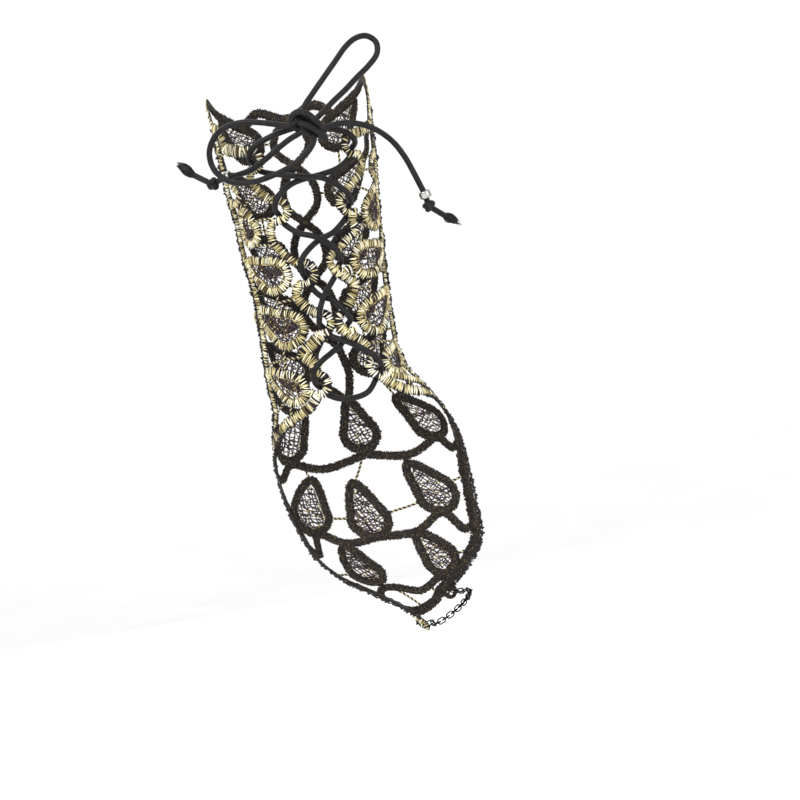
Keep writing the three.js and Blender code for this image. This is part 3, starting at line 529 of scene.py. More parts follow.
def new_material(name, **shader_values):
    material = bpy.data.materials.new(name)
    material.use_nodes = True
    shader = material.node_tree.nodes["Principled BSDF"]
    for socket, value in shader_values.items():
        shader.inputs[socket.replace("_", " ")].default_value = value
    return material, material.node_tree, shader


# Black polyester thread: nearly black and dull, each thread 0.4 mm wide and showing as fine ribs across
# the band. Its "lie" holds the distance along the band, across it and up, in mm. On the reverse the needle
# has pulled a little of the gold through, in flecks.
THREAD_WIDE = 0.4


def black_thread():
    material, tree, shader = new_material("black_polyester_thread", Roughness=0.5, Specular_IOR_Level=0.22)
    lie = add_node(tree, "ShaderNodeAttribute", {"attribute_name": "lie"}).outputs["Vector"]
    grain = add_node(tree, "ShaderNodeTexNoise", {"noise_dimensions": "3D"},
                     {"Vector": lie, "Scale": 1.3, "Detail": 4.0, "Roughness": 0.65}).outputs["Fac"]
    apart = add_node(tree, "ShaderNodeSeparateXYZ", inputs={0: lie})
    ribs = add_node(tree, "ShaderNodeMath", {"operation": "MULTIPLY"},
                    {0: apart.outputs["X"], 1: 2 * math.pi / THREAD_WIDE})
    rib = add_node(tree, "ShaderNodeMath", {"operation": "SINE"}, {0: ribs.outputs[0]})
    height = add_node(tree, "ShaderNodeMath", {"operation": "MULTIPLY_ADD"},
                      {0: rib.outputs[0], 1: 0.35, 2: grain})
    bump = add_node(tree, "ShaderNodeBump",
                    inputs={"Strength": 0.8, "Distance": 0.00015, "Height": height.outputs[0]})
    tree.links.new(bump.outputs["Normal"], shader.inputs["Normal"])
    pulled = add_node(tree, "ShaderNodeTexNoise", {"noise_dimensions": "3D"},
                      {"Vector": lie, "Scale": 2.1, "Detail": 2.0, "Roughness": 0.5})
    reverse = add_node(tree, "ShaderNodeMath", {"operation": "LESS_THAN"}, {0: apart.outputs["Z"], 1: 0.25})
    fleck = add_node(tree, "ShaderNodeMapRange", {"clamp": True},
                     {"Value": pulled.outputs["Fac"], "From Min": 0.6, "From Max": 0.68})
    gold = add_node(tree, "ShaderNodeMath", {"operation": "MULTIPLY"},
                    {0: reverse.outputs[0], 1: fleck.outputs[0]})
    black = add_node(tree, "ShaderNodeValToRGB", inputs={"Fac": grain},
                     stops=[(0.3, "#070607"), (0.55, "#151012"), (0.8, "#33292c")])
    colour = add_node(tree, "ShaderNodeMix", {"data_type": "RGBA"},
                      {"Factor": gold.outputs[0], 6: black.outputs["Color"], 7: linear("#7d6c44")})
    tree.links.new(colour.outputs[2], shader.inputs["Base Color"])
    return material


# Lurex thread: a flat champagne gold foil twisted with a fine core. "tone" runs from 0, the black thread worked in with
# it, through dark brown, bronze and gold to 1, where the pale colour is a painted highlight of the foil catching the
# light.
def lurex_thread():
    material, tree, shader = new_material("gold_lurex_thread", Specular_IOR_Level=0.3)
    tone = add_node(tree, "ShaderNodeAttribute", {"attribute_name": "tone"}).outputs["Fac"]
    lie = add_node(tree, "ShaderNodeAttribute", {"attribute_name": "lie"}).outputs["Vector"]
    strands = add_node(tree, "ShaderNodeVectorMath", {"operation": "MULTIPLY"}, {0: lie, 1: (1.1, 7.0, 1.0)})
    foil = add_node(tree, "ShaderNodeTexNoise", {"noise_dimensions": "3D"},
                    {"Vector": strands.outputs[0], "Scale": 1.0, "Detail": 3.0, "Roughness": 0.6})
    foil = foil.outputs["Fac"]
    mixed = add_node(tree, "ShaderNodeMath", {"operation": "MULTIPLY_ADD"}, {0: foil, 1: 0.5, 2: tone})
    shifted = add_node(tree, "ShaderNodeMath", {"operation": "SUBTRACT", "use_clamp": True},
                       {0: mixed.outputs[0], 1: 0.25})
    colour = add_node(tree, "ShaderNodeValToRGB", inputs={"Fac": shifted.outputs[0]}, stops=[
        (0.0, "#0a0809"), (0.12, "#251b1f"), (0.22, "#46363a"), (0.34, "#66562f"), (0.48, "#a99a66"),
        (0.66, "#d8ca96"), (0.84, "#f2e9c2"), (1.0, "#fffbea")])
    tree.links.new(colour.outputs["Color"], shader.inputs["Base Color"])
    metal = add_node(tree, "ShaderNodeMapRange", {"clamp": True},
                     {"Value": tone, "From Min": 0.2, "From Max": 0.45, "To Min": 0.0, "To Max": 0.75})
    tree.links.new(metal.outputs[0], shader.inputs["Metallic"])
    rough = add_node(tree, "ShaderNodeMapRange", {"clamp": True},
                     {"Value": foil, "From Min": 0.3, "From Max": 0.7, "To Min": 0.28, "To Max": 0.5})
    tree.links.new(rough.outputs[0], shader.inputs["Roughness"])
    bump = add_node(tree, "ShaderNodeBump", inputs={"Strength": 0.7, "Distance": 0.0001, "Height": foil})
    tree.links.new(bump.outputs["Normal"], shader.inputs["Normal"])
    return material


black_polyester = black_thread()
gold_lurex = lurex_thread()


def show(name, points, faces, material, slot, nodes=(), tone=None, lie=None, uv=None):
    """A smooth piece of the object from points in mm."""
    mesh = bpy.data.meshes.new(name)
    mesh.from_pydata((np.asarray(points) * METRE).tolist(), [], faces)
    mesh.polygons.foreach_set("use_smooth", np.ones(len(mesh.polygons), bool))
    if tone is not None:
        mesh.attributes.new("tone", "FLOAT", "POINT").data.foreach_set("value", np.asarray(tone, np.float32))
    if lie is not None:
        mesh.attributes.new("lie", "FLOAT_VECTOR", "POINT").data.foreach_set(
            "vector", np.asarray(lie, np.float32).ravel())
    if uv is not None:
        mesh.uv_layers.new(name="along_and_round").data.foreach_set("uv", np.asarray(uv, np.float32).ravel())
    mesh.materials.append(material)
    mesh.update()
    piece = put(name, mesh)
    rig.ride(piece, "root")
    if nodes:
        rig.replaces(piece, *nodes)
    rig.slot(piece, slot)
    return piece


def grid_faces(rows, columns, start=0, closed_rows=False):
    """Four-sided faces of a tube of rings, and its two ends."""
    faces = []
    for i in range(rows if closed_rows else rows - 1):
        low, high = start + i * columns, start + (i + 1) % rows * columns
        for j in range(columns):
            beside = (j + 1) % columns
            faces.append((low + j, low + beside, high + beside, high + j))
    if not closed_rows:
        faces.append(tuple(start + j for j in range(columns))[::-1])
        faces.append(tuple(start + (rows - 1) * columns + j for j in range(columns)))
    return faces


# The black ground: a flat band of black thread lies under every run of gold and shows at its edges and
# on the reverse. Each pass of the needle draws it in, so that its edge is a row of ragged scallops, and
# on the reverse each pass is a rib.
GROUND_TOP = 0.78
GROUND_BOTTOM = 0.1
GROUND_BEYOND = 0.2
GROUND_RIB = 0.09
SCALLOP_STEP = 0.4
SECTION = [(-1, 0.5), (-0.85, 1), (0, 1.1), (0.85, 1), (1, 0.5), (0.85, 0), (0, 0), (-0.85, 0)]
SECTION_ACROSS, SECTION_UP = np.array(SECTION).T

ground_points, ground_faces, ground_lie = [], [], []
count = 0
for run in runs:
    line = laid(run["route"], SCALLOP_STEP, run["closed"])
    n = len(line["at"])
    reach = np.array([run["half"] + run["inner"], run["half"] + run["outer"]]) + GROUND_BEYOND
    reach = reach * np.where(np.arange(n) % 2, 0.88, 1.0)[:, None] * (1 + 0.09 * dice.standard_normal((n, 2)))
    if not run["closed"]:
        reach *= np.clip(np.minimum(np.arange(n) + 0.8, n - np.arange(n) - 0.2) / 2, 0.4, 1)[:, None]
    across = np.where(SECTION_ACROSS < 0, reach[:, :1], reach[:, 1:]) * SECTION_ACROSS
    height = GROUND_BOTTOM + (GROUND_TOP - GROUND_BOTTOM) * SECTION_UP
    rib = GROUND_RIB * np.where(np.arange(n) % 2, 1.0, -0.6)[:, None] * np.where(SECTION_UP < 0.2, 1, 0)
    ring = (
        line["mid"][:, None]
        + line["side"][:, None] * across[..., None]
        + line["out"][:, None] * (height + rib)[..., None]
    )
    ground_points.append(ring.reshape(-1, 3))
    ground_faces += grid_faces(n, len(SECTION), count, run["closed"])
    lie = np.stack(np.broadcast_arrays(line["at"][:, None], across, height), -1)
    ground_lie.append(lie.reshape(-1, 3))
    count += n * len(SECTION)
lace_ground = show("lace_ground", np.concatenate(ground_points), ground_faces, black_polyester, "gold_lace",
                   ["lace_panel"], lie=np.concatenate(ground_lie))


# Satin stitch: gold thread laid side by side across each band, every stitch a little arch of its own length, lean and
# brightness, narrowing to its ends like a tooth, with the black ground between. Here and there a stitch is the black
# thread itself, and in slow patches the middle of each stitch is painted darker, to bronze, as painted shade of a
# hollow in the band.
STITCH_PITCH = 0.67
STITCH_HALF_WIDE = 0.26
STITCH_HALF_THICK = 0.19
STITCH_LOW = 0.6
STITCH_HIGH = 1.2
STITCH_LEAN = 0.16
STITCH_SIDES = 5
ACROSS = np.array([-1.0, -0.84, -0.5, 0.0, 0.5, 0.84, 1.0])
TAPER = np.array([0.25, 0.62, 0.95, 1.05, 0.95, 0.62, 0.25])
STITCH_RAGGED = 0.26
BLACK_STITCHES = 0.1
TONE_MEAN = 0.74
TONE_SPREAD = 0.22
TONE_PATCH = 4.5


def satin(run):
    """Rings of every stitch of one run, with its tone and lie."""
    coarse = run["coarse"]
    line = laid(run["route"], STITCH_PITCH * coarse, run["closed"], jitter=0.28)
    n = len(line["at"])
    patches = np.arange(0, line["at"][-1] + 2 * TONE_PATCH, TONE_PATCH)
    slow, turned = (np.interp(line["at"], patches, dice.uniform(-1, 1, len(patches))) for _ in range(2))
    tone = TONE_MEAN + run["bright"] + 0.12 * slow + TONE_SPREAD * dice.standard_normal(n)
    tone = np.clip(tone, 0.32, 1.1)
    tone = np.where(dice.random(n) < BLACK_STITCHES, 0.08, tone)
    reach = run["half"] + np.array([run["inner"], run["outer"]])
    reach = reach + dice.normal(0, STITCH_RAGGED * coarse, (n, 2))
    if not run["closed"]:
        reach *= np.clip(np.minimum(np.arange(n) + 2.0, n - np.arange(n) + 1.0) / 2.6, 0.6, 1)[:, None]
    offset = np.where(ACROSS < 0, reach[:, :1], reach[:, 1:]) * ACROSS
    lean = (STITCH_LEAN + 0.24 * dice.standard_normal(n))[:, None] * ACROSS
    high = STITCH_HIGH + 0.09 * dice.standard_normal(n)
    height = STITCH_LOW + (high[:, None] - STITCH_LOW) * (1 - np.abs(ACROSS) ** 2.4)
    way, side, out = (line[k][:, None] for k in ("way", "side", "out"))
    path = line["mid"][:, None] + side * offset[..., None] + way * lean[..., None] + out * height[..., None]
    heading = unit(np.gradient(path, axis=1))
    flat = unit(way - heading * (way * heading).sum(-1, keepdims=True))
    top = np.cross(heading, flat)
    top *= np.sign((top * out).sum(-1, keepdims=True))
    angles = 2 * np.pi * (np.arange(STITCH_SIDES) + 0.5) / STITCH_SIDES
    broad = STITCH_HALF_WIDE * coarse * (1 + 0.2 * dice.standard_normal(n))
    wide = (broad[:, None] * TAPER)[..., None] * np.cos(angles)
    tall = (STITCH_HALF_THICK * TAPER)[None, :, None] * np.sin(angles)
    rings = path[:, :, None] + flat[:, :, None] * wide[..., None] + top[:, :, None] * tall[..., None]
    lie = np.stack(np.broadcast_arrays(offset[..., None], wide, 3.7 * np.arange(n)[:, None, None]), -1)
    # Painted shade: in the slow patches the tone of each stitch's middle is lowered towards bronze.
    painted_shade_middle = 0.3 * np.clip(turned, 0, 1)[:, None] * (1 - np.abs(ACROSS) ** 2)
    tone = np.clip(tone[:, None] - painted_shade_middle, 0.06, 1)
    return rings, np.broadcast_to(tone[..., None], rings.shape[:3]), lie


def ring_stack_faces(count, rings, sides):
    """Faces of many short tubes, each of the same rings and sides."""
    one = np.array(grid_faces(rings, sides)[:-2])
    ends = np.array(grid_faces(rings, sides)[-2:])
    start = (np.arange(count) * rings * sides)[:, None, None]
    return (one + start).reshape(-1, 4).tolist() + (ends + start).reshape(-1, sides).tolist()


on_ground = []
for wanted in ("thumb", "far", "hand", "back"):
    made = [satin(run) for run in runs if run["region"] == wanted]
    rings, tones, lies = (np.concatenate([m[k] for m in made]) for k in range(3))
    on_ground.append(show(
        "lace_satin_" + wanted, rings.reshape(-1, 3), ring_stack_faces(len(rings), len(ACROSS), STITCH_SIDES),
        gold_lurex, "gold_lace", ["lace_panel"], tone=tones.ravel(), lie=lies.reshape(-1, 3)))


# Fine threads: the net in each leaf, the corded line round it, the twisted bars that join the bands,
# and the loose ends along the edges. All are machine stitched in black and gold thread.
class Threads:
    """Threads laid one by one and shown as one piece."""

    def __init__(self):
        self.points, self.faces, self.tone, self.lie, self.count = [], [], [], [], 0

    def lay(self, path, radius, tone, up, sides=4, closed=False):
        path = np.asarray(path, float)
        n = len(path)
        ahead, behind = np.roll(path, -1, 0), np.roll(path, 1, 0)
        if not closed:
            ahead[-1], behind[0] = path[-1], path[0]
        heading = unit(ahead - behind)
        flat = unit(np.cross(heading, up))
        top = np.cross(flat, heading)
        self.points.append(rings_round(path, radius, flat, top, sides).reshape(-1, 3))
        self.faces += grid_faces(n, sides, self.count, closed)
        self.tone.append(np.repeat(np.broadcast_to(tone, (n,)), sides))
        run = np.repeat(np.arange(n) * 0.4, sides)
        aside = np.tile(0.2 * np.sin(2 * np.pi * np.arange(sides) / sides), n)
        self.lie.append(np.stack([run, aside, run * 0 + self.count * 0.37], -1))
        self.count += n * sides

    def show(self, name):
        return show(name, np.concatenate(self.points), self.faces, gold_lurex, "gold_lace", ["lace_panel"],
                    tone=np.concatenate(self.tone), lie=np.concatenate(self.lie))


def inside(outline, places):
    """Which places lie inside a closed outline."""
    x, y = places.T
    odd = np.zeros(len(places), bool)
    for (ax, ay), (bx, by) in zip(outline, np.roll(outline, -1, 0)):
        crosses = (ay > y) != (by > y)
        odd ^= crosses & (x < (bx - ax) * (y - ay) / (by - ay + 1e-12) + ax)
    return odd


# Each set of the net's threads: its turn from the leaf's long line in degrees, and the mm between threads.
NET_SETS = [(18, 1.3), (104, 1.3), (62, 2.6)]
NET_COUNT = 12
NET_REACH = 16
NET_STEP = 0.55
NET_BEND = 1.6
NET_MARGIN = 1.4
NET_THREAD = 0.27
NET_HEIGHT = 0.62
INNER_CORD = 0.22
INNER_CORD_HEIGHT = 1.0
net = Threads()
for leaf in [leaf for leaves in LEAVES.values() for leaf in leaves]:
    stops, heading = leaf_outline(leaf, inwards=NET_MARGIN)
    outline = curved(stops, closed=True, fine=8)
    for turn, apart in NET_SETS:
        forward = np.array([math.cos(heading + math.radians(turn)), math.sin(heading + math.radians(turn))])
        aside = np.array([-forward[1], forward[0]])
        steps = np.arange(-NET_REACH, NET_REACH, NET_STEP)
        bends = np.arange(-NET_REACH, NET_REACH + 1, NET_BEND)
        for k in range(-NET_COUNT, NET_COUNT + 1):
            shift = apart * (k + 0.42 * dice.uniform(-1, 1))
            wander = 0.3 * np.interp(steps, bends, dice.standard_normal(len(bends)))
            places = steps[:, None] * forward + (shift + wander)[:, None] * aside
            kept = inside(outline, places)
            for piece in np.split(np.arange(len(steps)), np.flatnonzero(np.diff(kept)) + 1):
                if not kept[piece[0]] or len(piece) < 3:
                    continue
                u, z = spread_on(leaf, places[piece]).T
                bob = NET_HEIGHT + 0.12 * dice.standard_normal() + 0.06 * np.sin(2.1 * steps[piece] + k)
                # A few points of each dark net thread take a gold tone: painted glints.
                glint = np.where(dice.random(len(piece)) < 0.07, 0.66, 0.08 + 0.14 * dice.random())
                thick = NET_THREAD * dice.uniform(0.75, 1.3) * dice.uniform(0.85, 1.15, len(piece))
                net.lay(on(u, z, standoff(u) + bob), thick, glint, along(u, z)[2])
    u, z = spread_on(leaf, outline).T
    tone = np.clip(0.42 + 0.26 * dice.standard_normal(len(u)), 0.06, 0.9)
    net.lay(on(u, z, standoff(u) + INNER_CORD_HEIGHT), INNER_CORD, tone, along(u, z)[2], sides=5, closed=True)
on_ground.append(net.show("leaf_nets"))

# Bars, each from one u, z to another.
BARS = [
    ((-66, 86), (-58, 84)), ((-68.5, 62), (-80, 67)), ((-73, 56), (-83.5, 56)), ((-73, 50), (-82, 52)),
    ((-70, 46.6), (-82, 45)), ((-85, 29), (-89, 27)), ((-79, 26), (-79, 18)), ((-79, 22), (-88, 22)),
    ((-61, 28), (-72, 30)), ((-76.5, 3.8), (-75, -7)), ((-58, -2), (-86, -1)), ((-57.5, -22), (-70, -16.5)),
    ((-72, -19), (-71, -25)), ((64, 70), (75, 69)), ((66, 60), (81.5, 64)), ((73, 53), (82, 52)),
    ((70, 46), (81, 47)), ((76, 39), (82, 45)), ((83, 29), (88, 27)), ((77, 27), (77, 17)),
    ((77, 22), (86, 22)), ((58, 28), (70, 30)), ((83.5, 13.5), (88.5, 18)), ((75, 4), (72, -5)),
    ((57, -1), (86, 0)), ((73, -12), (77, -12)), ((58, -19), (58, -25)), ((70, -17), (70, -23)),
    ((52, -15), (62, -12)), ((-14.5, -70), (-26, -67.5)), ((-1.5, -70.5), (12.8, -68)),
    ((-23, -52), (-24, -46)), ((-8, -57), (0, -43)), ((13, -52), (12, -47)), ((-40, -62), (-48, -60)),
    ((26, -62), (35, -60)), ((-33, -92), (-48, -91)), ((18.5, -92), (31, -90)), ((-20, -101), (-18, -112)),
    ((2, -102), (0, -109)),
]
BACK_BARS = [
    ((6, 90), (14, 90)), ((7, 66), (14, 66)), ((7, 42), (14, 42)), ((7, 18), (14, 18)), ((7, -6), (14, -6)),
    ((20, 84), (20, 72)), ((20, 60), (20, 48)), ((20, 36), (20, 24)), ((20, 12), (20, 0)),
    ((20, -12), (21, -24)), ((34, 77), (57, 75)), ((34, 53), (56, 52)), ((34, 29), (60, 29)),
    ((34, 5), (57, 4)), ((46, -5), (54.5, -18)),
]
BARS += [((side * a, b), (side * c, d)) for (a, b), (c, d) in BACK_BARS for side in (1, -1)]
BAR_PLY = 0.3
BAR_TWIST = 1.9
BAR_HEIGHT = 0.72
BAR_STEP = 0.3
BAR_STRAND = 0.27
bars = Threads()
for start, end in BARS:
    middle = np.add(start, end) / 2 + dice.normal(0, 0.35, 2)
    line = laid([start, tuple(middle), end], BAR_STEP)
    turn = 2 * np.pi * line["at"] / BAR_TWIST
    for ply, tone in ((0, 0.72), (0.67 * np.pi, 0.08), (1.33 * np.pi, 0.1)):
        path = (line["mid"] + line["out"] * (BAR_HEIGHT + BAR_PLY * np.sin(turn + ply))[:, None]
                + line["side"] * (BAR_PLY * np.cos(turn + ply))[:, None])
        bars.lay(path, BAR_STRAND, tone + 0.05 * np.sin(line["at"] * 2.3), line["out"])
on_ground.append(bars.show("bars"))

# Black edging: where the lace turns away at the sides, the long columns and the hems are edged with a
# thick and ragged black cord, on the side away from the laced gap and on both sides over the hand.
EDGE_STEP = 0.55
EDGE_CORD = 0.6
EDGE_HEIGHT = 0.95
EDGE_PAST = 0.1
EDGE_RAGGED = 0.22
EDGED_LENGTH = 80
EDGED_WITHIN = 63
edging = Threads()
for run in runs:
    line = laid(run["route"], EDGE_STEP, run["closed"])
    edged = np.abs(line["u"]) < EDGED_WITHIN
    n = edged.sum()
    if line["at"][-1] < EDGED_LENGTH:
        continue
    away = np.sign(line["side"][edged] @ (0, 1, 0)).mean()
    for hand in (-1, 1) if run["region"] == "hand" else (math.copysign(1, away),):
        swell = EDGE_CORD * (1 + 0.4 * dice.standard_normal(n))
        ragged = EDGE_RAGGED * dice.standard_normal(n)
        offset = hand * (run["half"] + run["inner"] + GROUND_BEYOND + EDGE_PAST + ragged)
        rise = EDGE_HEIGHT + 0.25 * dice.standard_normal(n)
        path = line["mid"][edged] + line["side"][edged] * offset[:, None] + line["out"][edged] * rise[:, None]
        edging.lay(path, np.clip(swell, 0.22, 0.85), 0.05, line["out"][edged], sides=6)
on_ground.append(edging.show("black_edging"))

# Loose ends: short curved fibres that stand out of the edges of the black ground, where threads between
# the runs of stitching were trimmed.
WISP_EVERY = 1.3
WISP_SHARE = 0.3
WISP_LONG = (0.25, 0.8)
WISP_THICK = 0.16
wisps = Threads()
for run in runs:
    line = laid(run["route"], WISP_EVERY, run["closed"], jitter=0.5)
    for i in range(len(line["at"])):
        for hand, past in ((-1, run["inner"]), (1, run["outer"])):
            if dice.random() > WISP_SHARE:
                continue
            length = dice.uniform(*WISP_LONG)
            t = np.linspace(0, 1, 4)[:, None]
            root = line["mid"][i] + line["side"][i] * hand * (run["half"] + past) + line["out"][i] * 0.5
            lean = line["way"][i] * dice.normal(0, 0.6) + line["out"][i] * dice.normal(0.1, 0.35)
            path = root + (line["side"][i] * hand * t + lean * t**2) * length
            tone = dice.choice([0.05, 0.08, 0.62], p=[0.5, 0.35, 0.15])
            wisps.lay(path, WISP_THICK * (1 - 0.7 * t[:, 0]), tone, line["out"][i], sides=3)
on_ground.append(wisps.show("edge_fibres"))

# Laid flat, the whole lace is one pierced piece, cut from a sheet of this width and length. Its area is
# that of the threadwork alone, without the gaps. The lacing holds it tight round the arm.
LACE_WIDE = 150
LACE_LONG = 230
LACE_AREA = 0.0138
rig.sheet(lace_ground, flat=(LACE_WIDE * METRE, LACE_LONG * METRE), area=LACE_AREA, held="stretched",
         with_pieces=on_ground)


# The lacing: one round braided polyester cord, 2.4 mm thick, waxed so that it is nearly smooth. It goes
# down through one eyelet and up through the next. Angles are 0 towards the gap and 90 up the arm, u
# counts on past 100 to the thumb side, and high is the height of the cord's middle over the wall.
CORD_THICK = 2.4
CORD_OVER = 6.1
CORD_UNDER = 1.0
THROUGH = [(4.9, 0), (2.0, 0.12), (0, 0.5), (2.0, 0.88), (4.9, 1)]
DOWN, UP = True, False
LACING = [
    (103.5, 89.2, 5.0), (110, 87.8, 5.0), ("thumb_1", 57, -70, DOWN),
    (109, 72.3, 2.6), (100.5, 70.2, 5.0), (93, 68.3, 5.4), ("far_2", 60, -85, DOWN),
    (91, 46.3, 1.6), (98, 44.1, 2.1), (104, 40.4, 4.6), ("thumb_3", 85, -74, DOWN),
    (101.5, 21.8, 2.0), (96.2, 19.2, 3.2), ("far_4", 63, -60, DOWN),
    (94.8, 1.8, 1.3), (101, -1.6, 2.4), (105, -3.4, 5.2), (108.5, -5.6, 6.0), ("thumb_5", 80, -74, DOWN),
    (105, -20.2, 1.5), (98, -20.8, 1.6), (92, -19.4, 1.4), ("far_5", -55, 70, UP),
    (89, -0.8, 6.0), (94.5, 2.4, 5.2), (99, 4.6, 3.0), ("thumb_4", -60, 80, UP),
    (100.3, 21.2, 5.0), (96.8, 25.2, 3.0), ("far_3", -69, 68, UP),
    (94.8, 42.2, 5.6), (99.5, 45.6, 5.0), (107, 48.6, 2.4), ("thumb_2", -80, 70, UP),
    (106, 67.8, 4.4), (99.5, 69.2, 2.0), (92.5, 69.9, 1.6), (85, 71.5, 1.3), ("far_1", -77, 50, UP),
    (84.5, 86.2, 5.8), (90, 87.6, 5.0),
]
LACING_ENDS = [(3.4, -33.0, 89.4), (6.2, -33.0, 88.4)]


def lacing_stops():
    stops = [LACING_ENDS[0]]
    for row in LACING:
        if len(row) == 3:
            stops.append(on(*row))
            continue
        name, comes, leaves, down = row
        u, z = EYELETS[name][:2]
        du, dz, _ = along(u, z)
        for i, (reach, gone) in enumerate(THROUGH):
            angle = math.radians(comes if i < 2 else leaves)
            a = u + math.copysign(reach, u) * math.cos(angle) / np.linalg.norm(du)
            b = z + reach * math.sin(angle) / np.linalg.norm(dz)
            stops.append(on(a, b, CORD_OVER + (CORD_UNDER - CORD_OVER) * (gone if down else 1 - gone)))
    return stops + [LACING_ENDS[1]]


# Braided cord shows as small slanting diamonds, 0.8 mm long and an eighth of the way round, under wax
# that gives it a soft grey gleam.
BRAID_LONG = 0.8
BRAID_ROUND = 8


def waxed_cord():
    material, tree, shader = new_material("waxed_black_cord", Specular_IOR_Level=0.22)
    place = add_node(tree, "ShaderNodeUVMap", {"uv_map": "along_and_round"})
    apart = add_node(tree, "ShaderNodeSeparateXYZ", inputs={0: place.outputs["UV"]})
    long = add_node(tree, "ShaderNodeMath", {"operation": "MULTIPLY"},
                    {0: apart.outputs["X"], 1: 2 * math.pi / BRAID_LONG})
    waves = []
    for turns in (BRAID_ROUND, -BRAID_ROUND):
        slant = add_node(tree, "ShaderNodeMath", {"operation": "MULTIPLY_ADD"},
                         {0: apart.outputs["Y"], 1: 2 * math.pi * turns, 2: long.outputs[0]})
        waves.append(add_node(tree, "ShaderNodeMath", {"operation": "SINE"}, {0: slant.outputs[0]}))
    braid = add_node(tree, "ShaderNodeMath", {"operation": "MAXIMUM"},
                     {0: waves[0].outputs[0], 1: waves[1].outputs[0]})
    where = add_node(tree, "ShaderNodeTexCoord")
    uneven = add_node(tree, "ShaderNodeTexNoise", {"noise_dimensions": "3D"},
                      {"Vector": where.outputs["Object"], "Scale": 420.0, "Detail": 4.0, "Roughness": 0.6})
    uneven = uneven.outputs["Fac"]
    height = add_node(tree, "ShaderNodeMath", {"operation": "MULTIPLY_ADD"},
                      {0: braid.outputs[0], 1: 0.4, 2: uneven})
    bump = add_node(tree, "ShaderNodeBump",
                    inputs={"Strength": 0.35, "Distance": 0.0001, "Height": height.outputs[0]})
    tree.links.new(bump.outputs["Normal"], shader.inputs["Normal"])
    colour = add_node(tree, "ShaderNodeValToRGB", inputs={"Fac": uneven},
                      stops=[(0.3, "#0b0a0a"), (0.5, "#131112"), (0.75, "#201d1e")])
    tree.links.new(colour.outputs["Color"], shader.inputs["Base Color"])
    rough = add_node(tree, "ShaderNodeMapRange", {"clamp": True},
                     {"Value": uneven, "From Min": 0.3, "From Max": 0.7, "To Min": 0.42, "To Max": 0.58})
    tree.links.new(rough.outputs[0], shader.inputs["Roughness"])
    return material


waxed_black_cord = waxed_cord()
CORD_SIDES = 16
CORD_STEP = 0.6


def carried(path):
    """Directions across a path that turn with it and never spin."""
    heading = unit(np.gradient(path, axis=0))
    across = np.zeros_like(path)
    start = np.cross(heading[0], (0.31, 0.52, 0.8))
    across[0] = start / np.linalg.norm(start)
    for i in range(1, len(path)):
        v = across[i - 1] - heading[i] * (across[i - 1] @ heading[i])
        across[i] = v / np.linalg.norm(v)
    return across, np.cross(heading, across)


def even(stops, step, fine=16):
    """A smooth run through the stops, in equal steps."""
    path = curved(stops, fine=fine)
    run = run_of(path)
    at = np.linspace(0, run[-1], max(4, round(run[-1] / step)))
    return np.stack([np.interp(at, run, path[:, k]) for k in range(3)], -1)


def round_cord(path, radius, sides=CORD_SIDES, start=0):
    """Points, faces and braid places of a round cord with rounded ends."""
    n = len(path)
    across, up = carried(path)
    thick = np.broadcast_to(np.asarray(radius, float), (n,)).copy()
    thick[[0, -1]] *= 0.45
    thick[[1, -2]] *= 0.85
    rings = rings_round(path, thick, across, up, sides)
    faces = grid_faces(n, sides, start)
    run = run_of(path)
    uv = []
    for i in range(n - 1):
        for j in range(sides):
            near, far = j / sides, (j + 1) / sides
            uv += [(run[i], near), (run[i], far), (run[i + 1], far), (run[i + 1], near)]
    uv += [(run[0], j / sides) for j in range(sides)][::-1] + [(run[-1], j / sides) for j in range(sides)]
    return rings.reshape(-1, 3), faces, uv


def cord_piece(name, stops, nodes, radius=CORD_THICK / 2):
    path = even(stops, CORD_STEP)
    points, faces, uv = round_cord(path, radius)
    return show(name, points, faces, waxed_black_cord, "black_cord", nodes, uv=uv), path * METRE


def turns_piece(name, strands, nodes=()):
    """Several short turns of cord as one piece: each is a path and a radius."""
    points, faces, uv, count = [], [], [], 0
    for path, radius in strands:
        p, f, v = round_cord(np.asarray(path), radius, start=count)
        points.append(p)
        faces += f
        uv += v
        count += len(p)
    return show(name, np.concatenate(points), faces, waxed_black_cord, "black_cord", nodes, uv=uv)


# The knot of the bow: the cord wraps over from a lump at the upper left to a nub at the lower right,
# with a second turn beneath. Stops are in mm from the knot's middle.
KNOT = np.array([4.4, -33.6, 89.2])
KNOT_WRAP = [(0.4, 1.8, -2.2), (-3.2, 1.4, -1.2), (-5.6, 0.2, 1.2), (-5.4, -1.0, 4.0), (-2.6, -1.8, 5.2),
             (0.4, -2.2, 3.8), (2.6, -2.6, 1.2), (4.6, -2.2, -1.6), (4.9, -0.6, -4.0), (3.0, 1.4, -4.6)]
KNOT_UNDER = [(-3.6, -0.4, 1.4), (-2.2, -2.0, 0.6), (0.4, -2.5, -0.9), (2.8, -2.7, -2.9), (4.6, -2.4, -4.9),
              (6.0, -1.8, -6.6)]
KNOT_BEHIND = [(-4.2, 0.6, 3.4), (-1.2, 1.6, 3.0), (2.0, 1.6, 0.6), (3.0, 1.4, -2.0), (1.2, 0.8, -3.4),
               (-1.8, 0.0, -1.4), (-2.4, 0.2, 1.2)]
bow_knot = turns_piece(
    "bow_knot",
    [(even(KNOT + 1.06 * np.array(stops), 0.5), 1.42) for stops in (KNOT_WRAP, KNOT_UNDER, KNOT_BEHIND)],
    ["bow_knot"])

lacing_cord, lacing_path = cord_piece("lacing_cord", lacing_stops(), ["lacing_cord"])
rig.cord(lacing_cord, exit=lacing_path[0], length=0.40, diameter=0.0024, far_end="knot", stiffness="limp",
        lay="taut", path=lacing_path, with_pieces=[bow_knot])

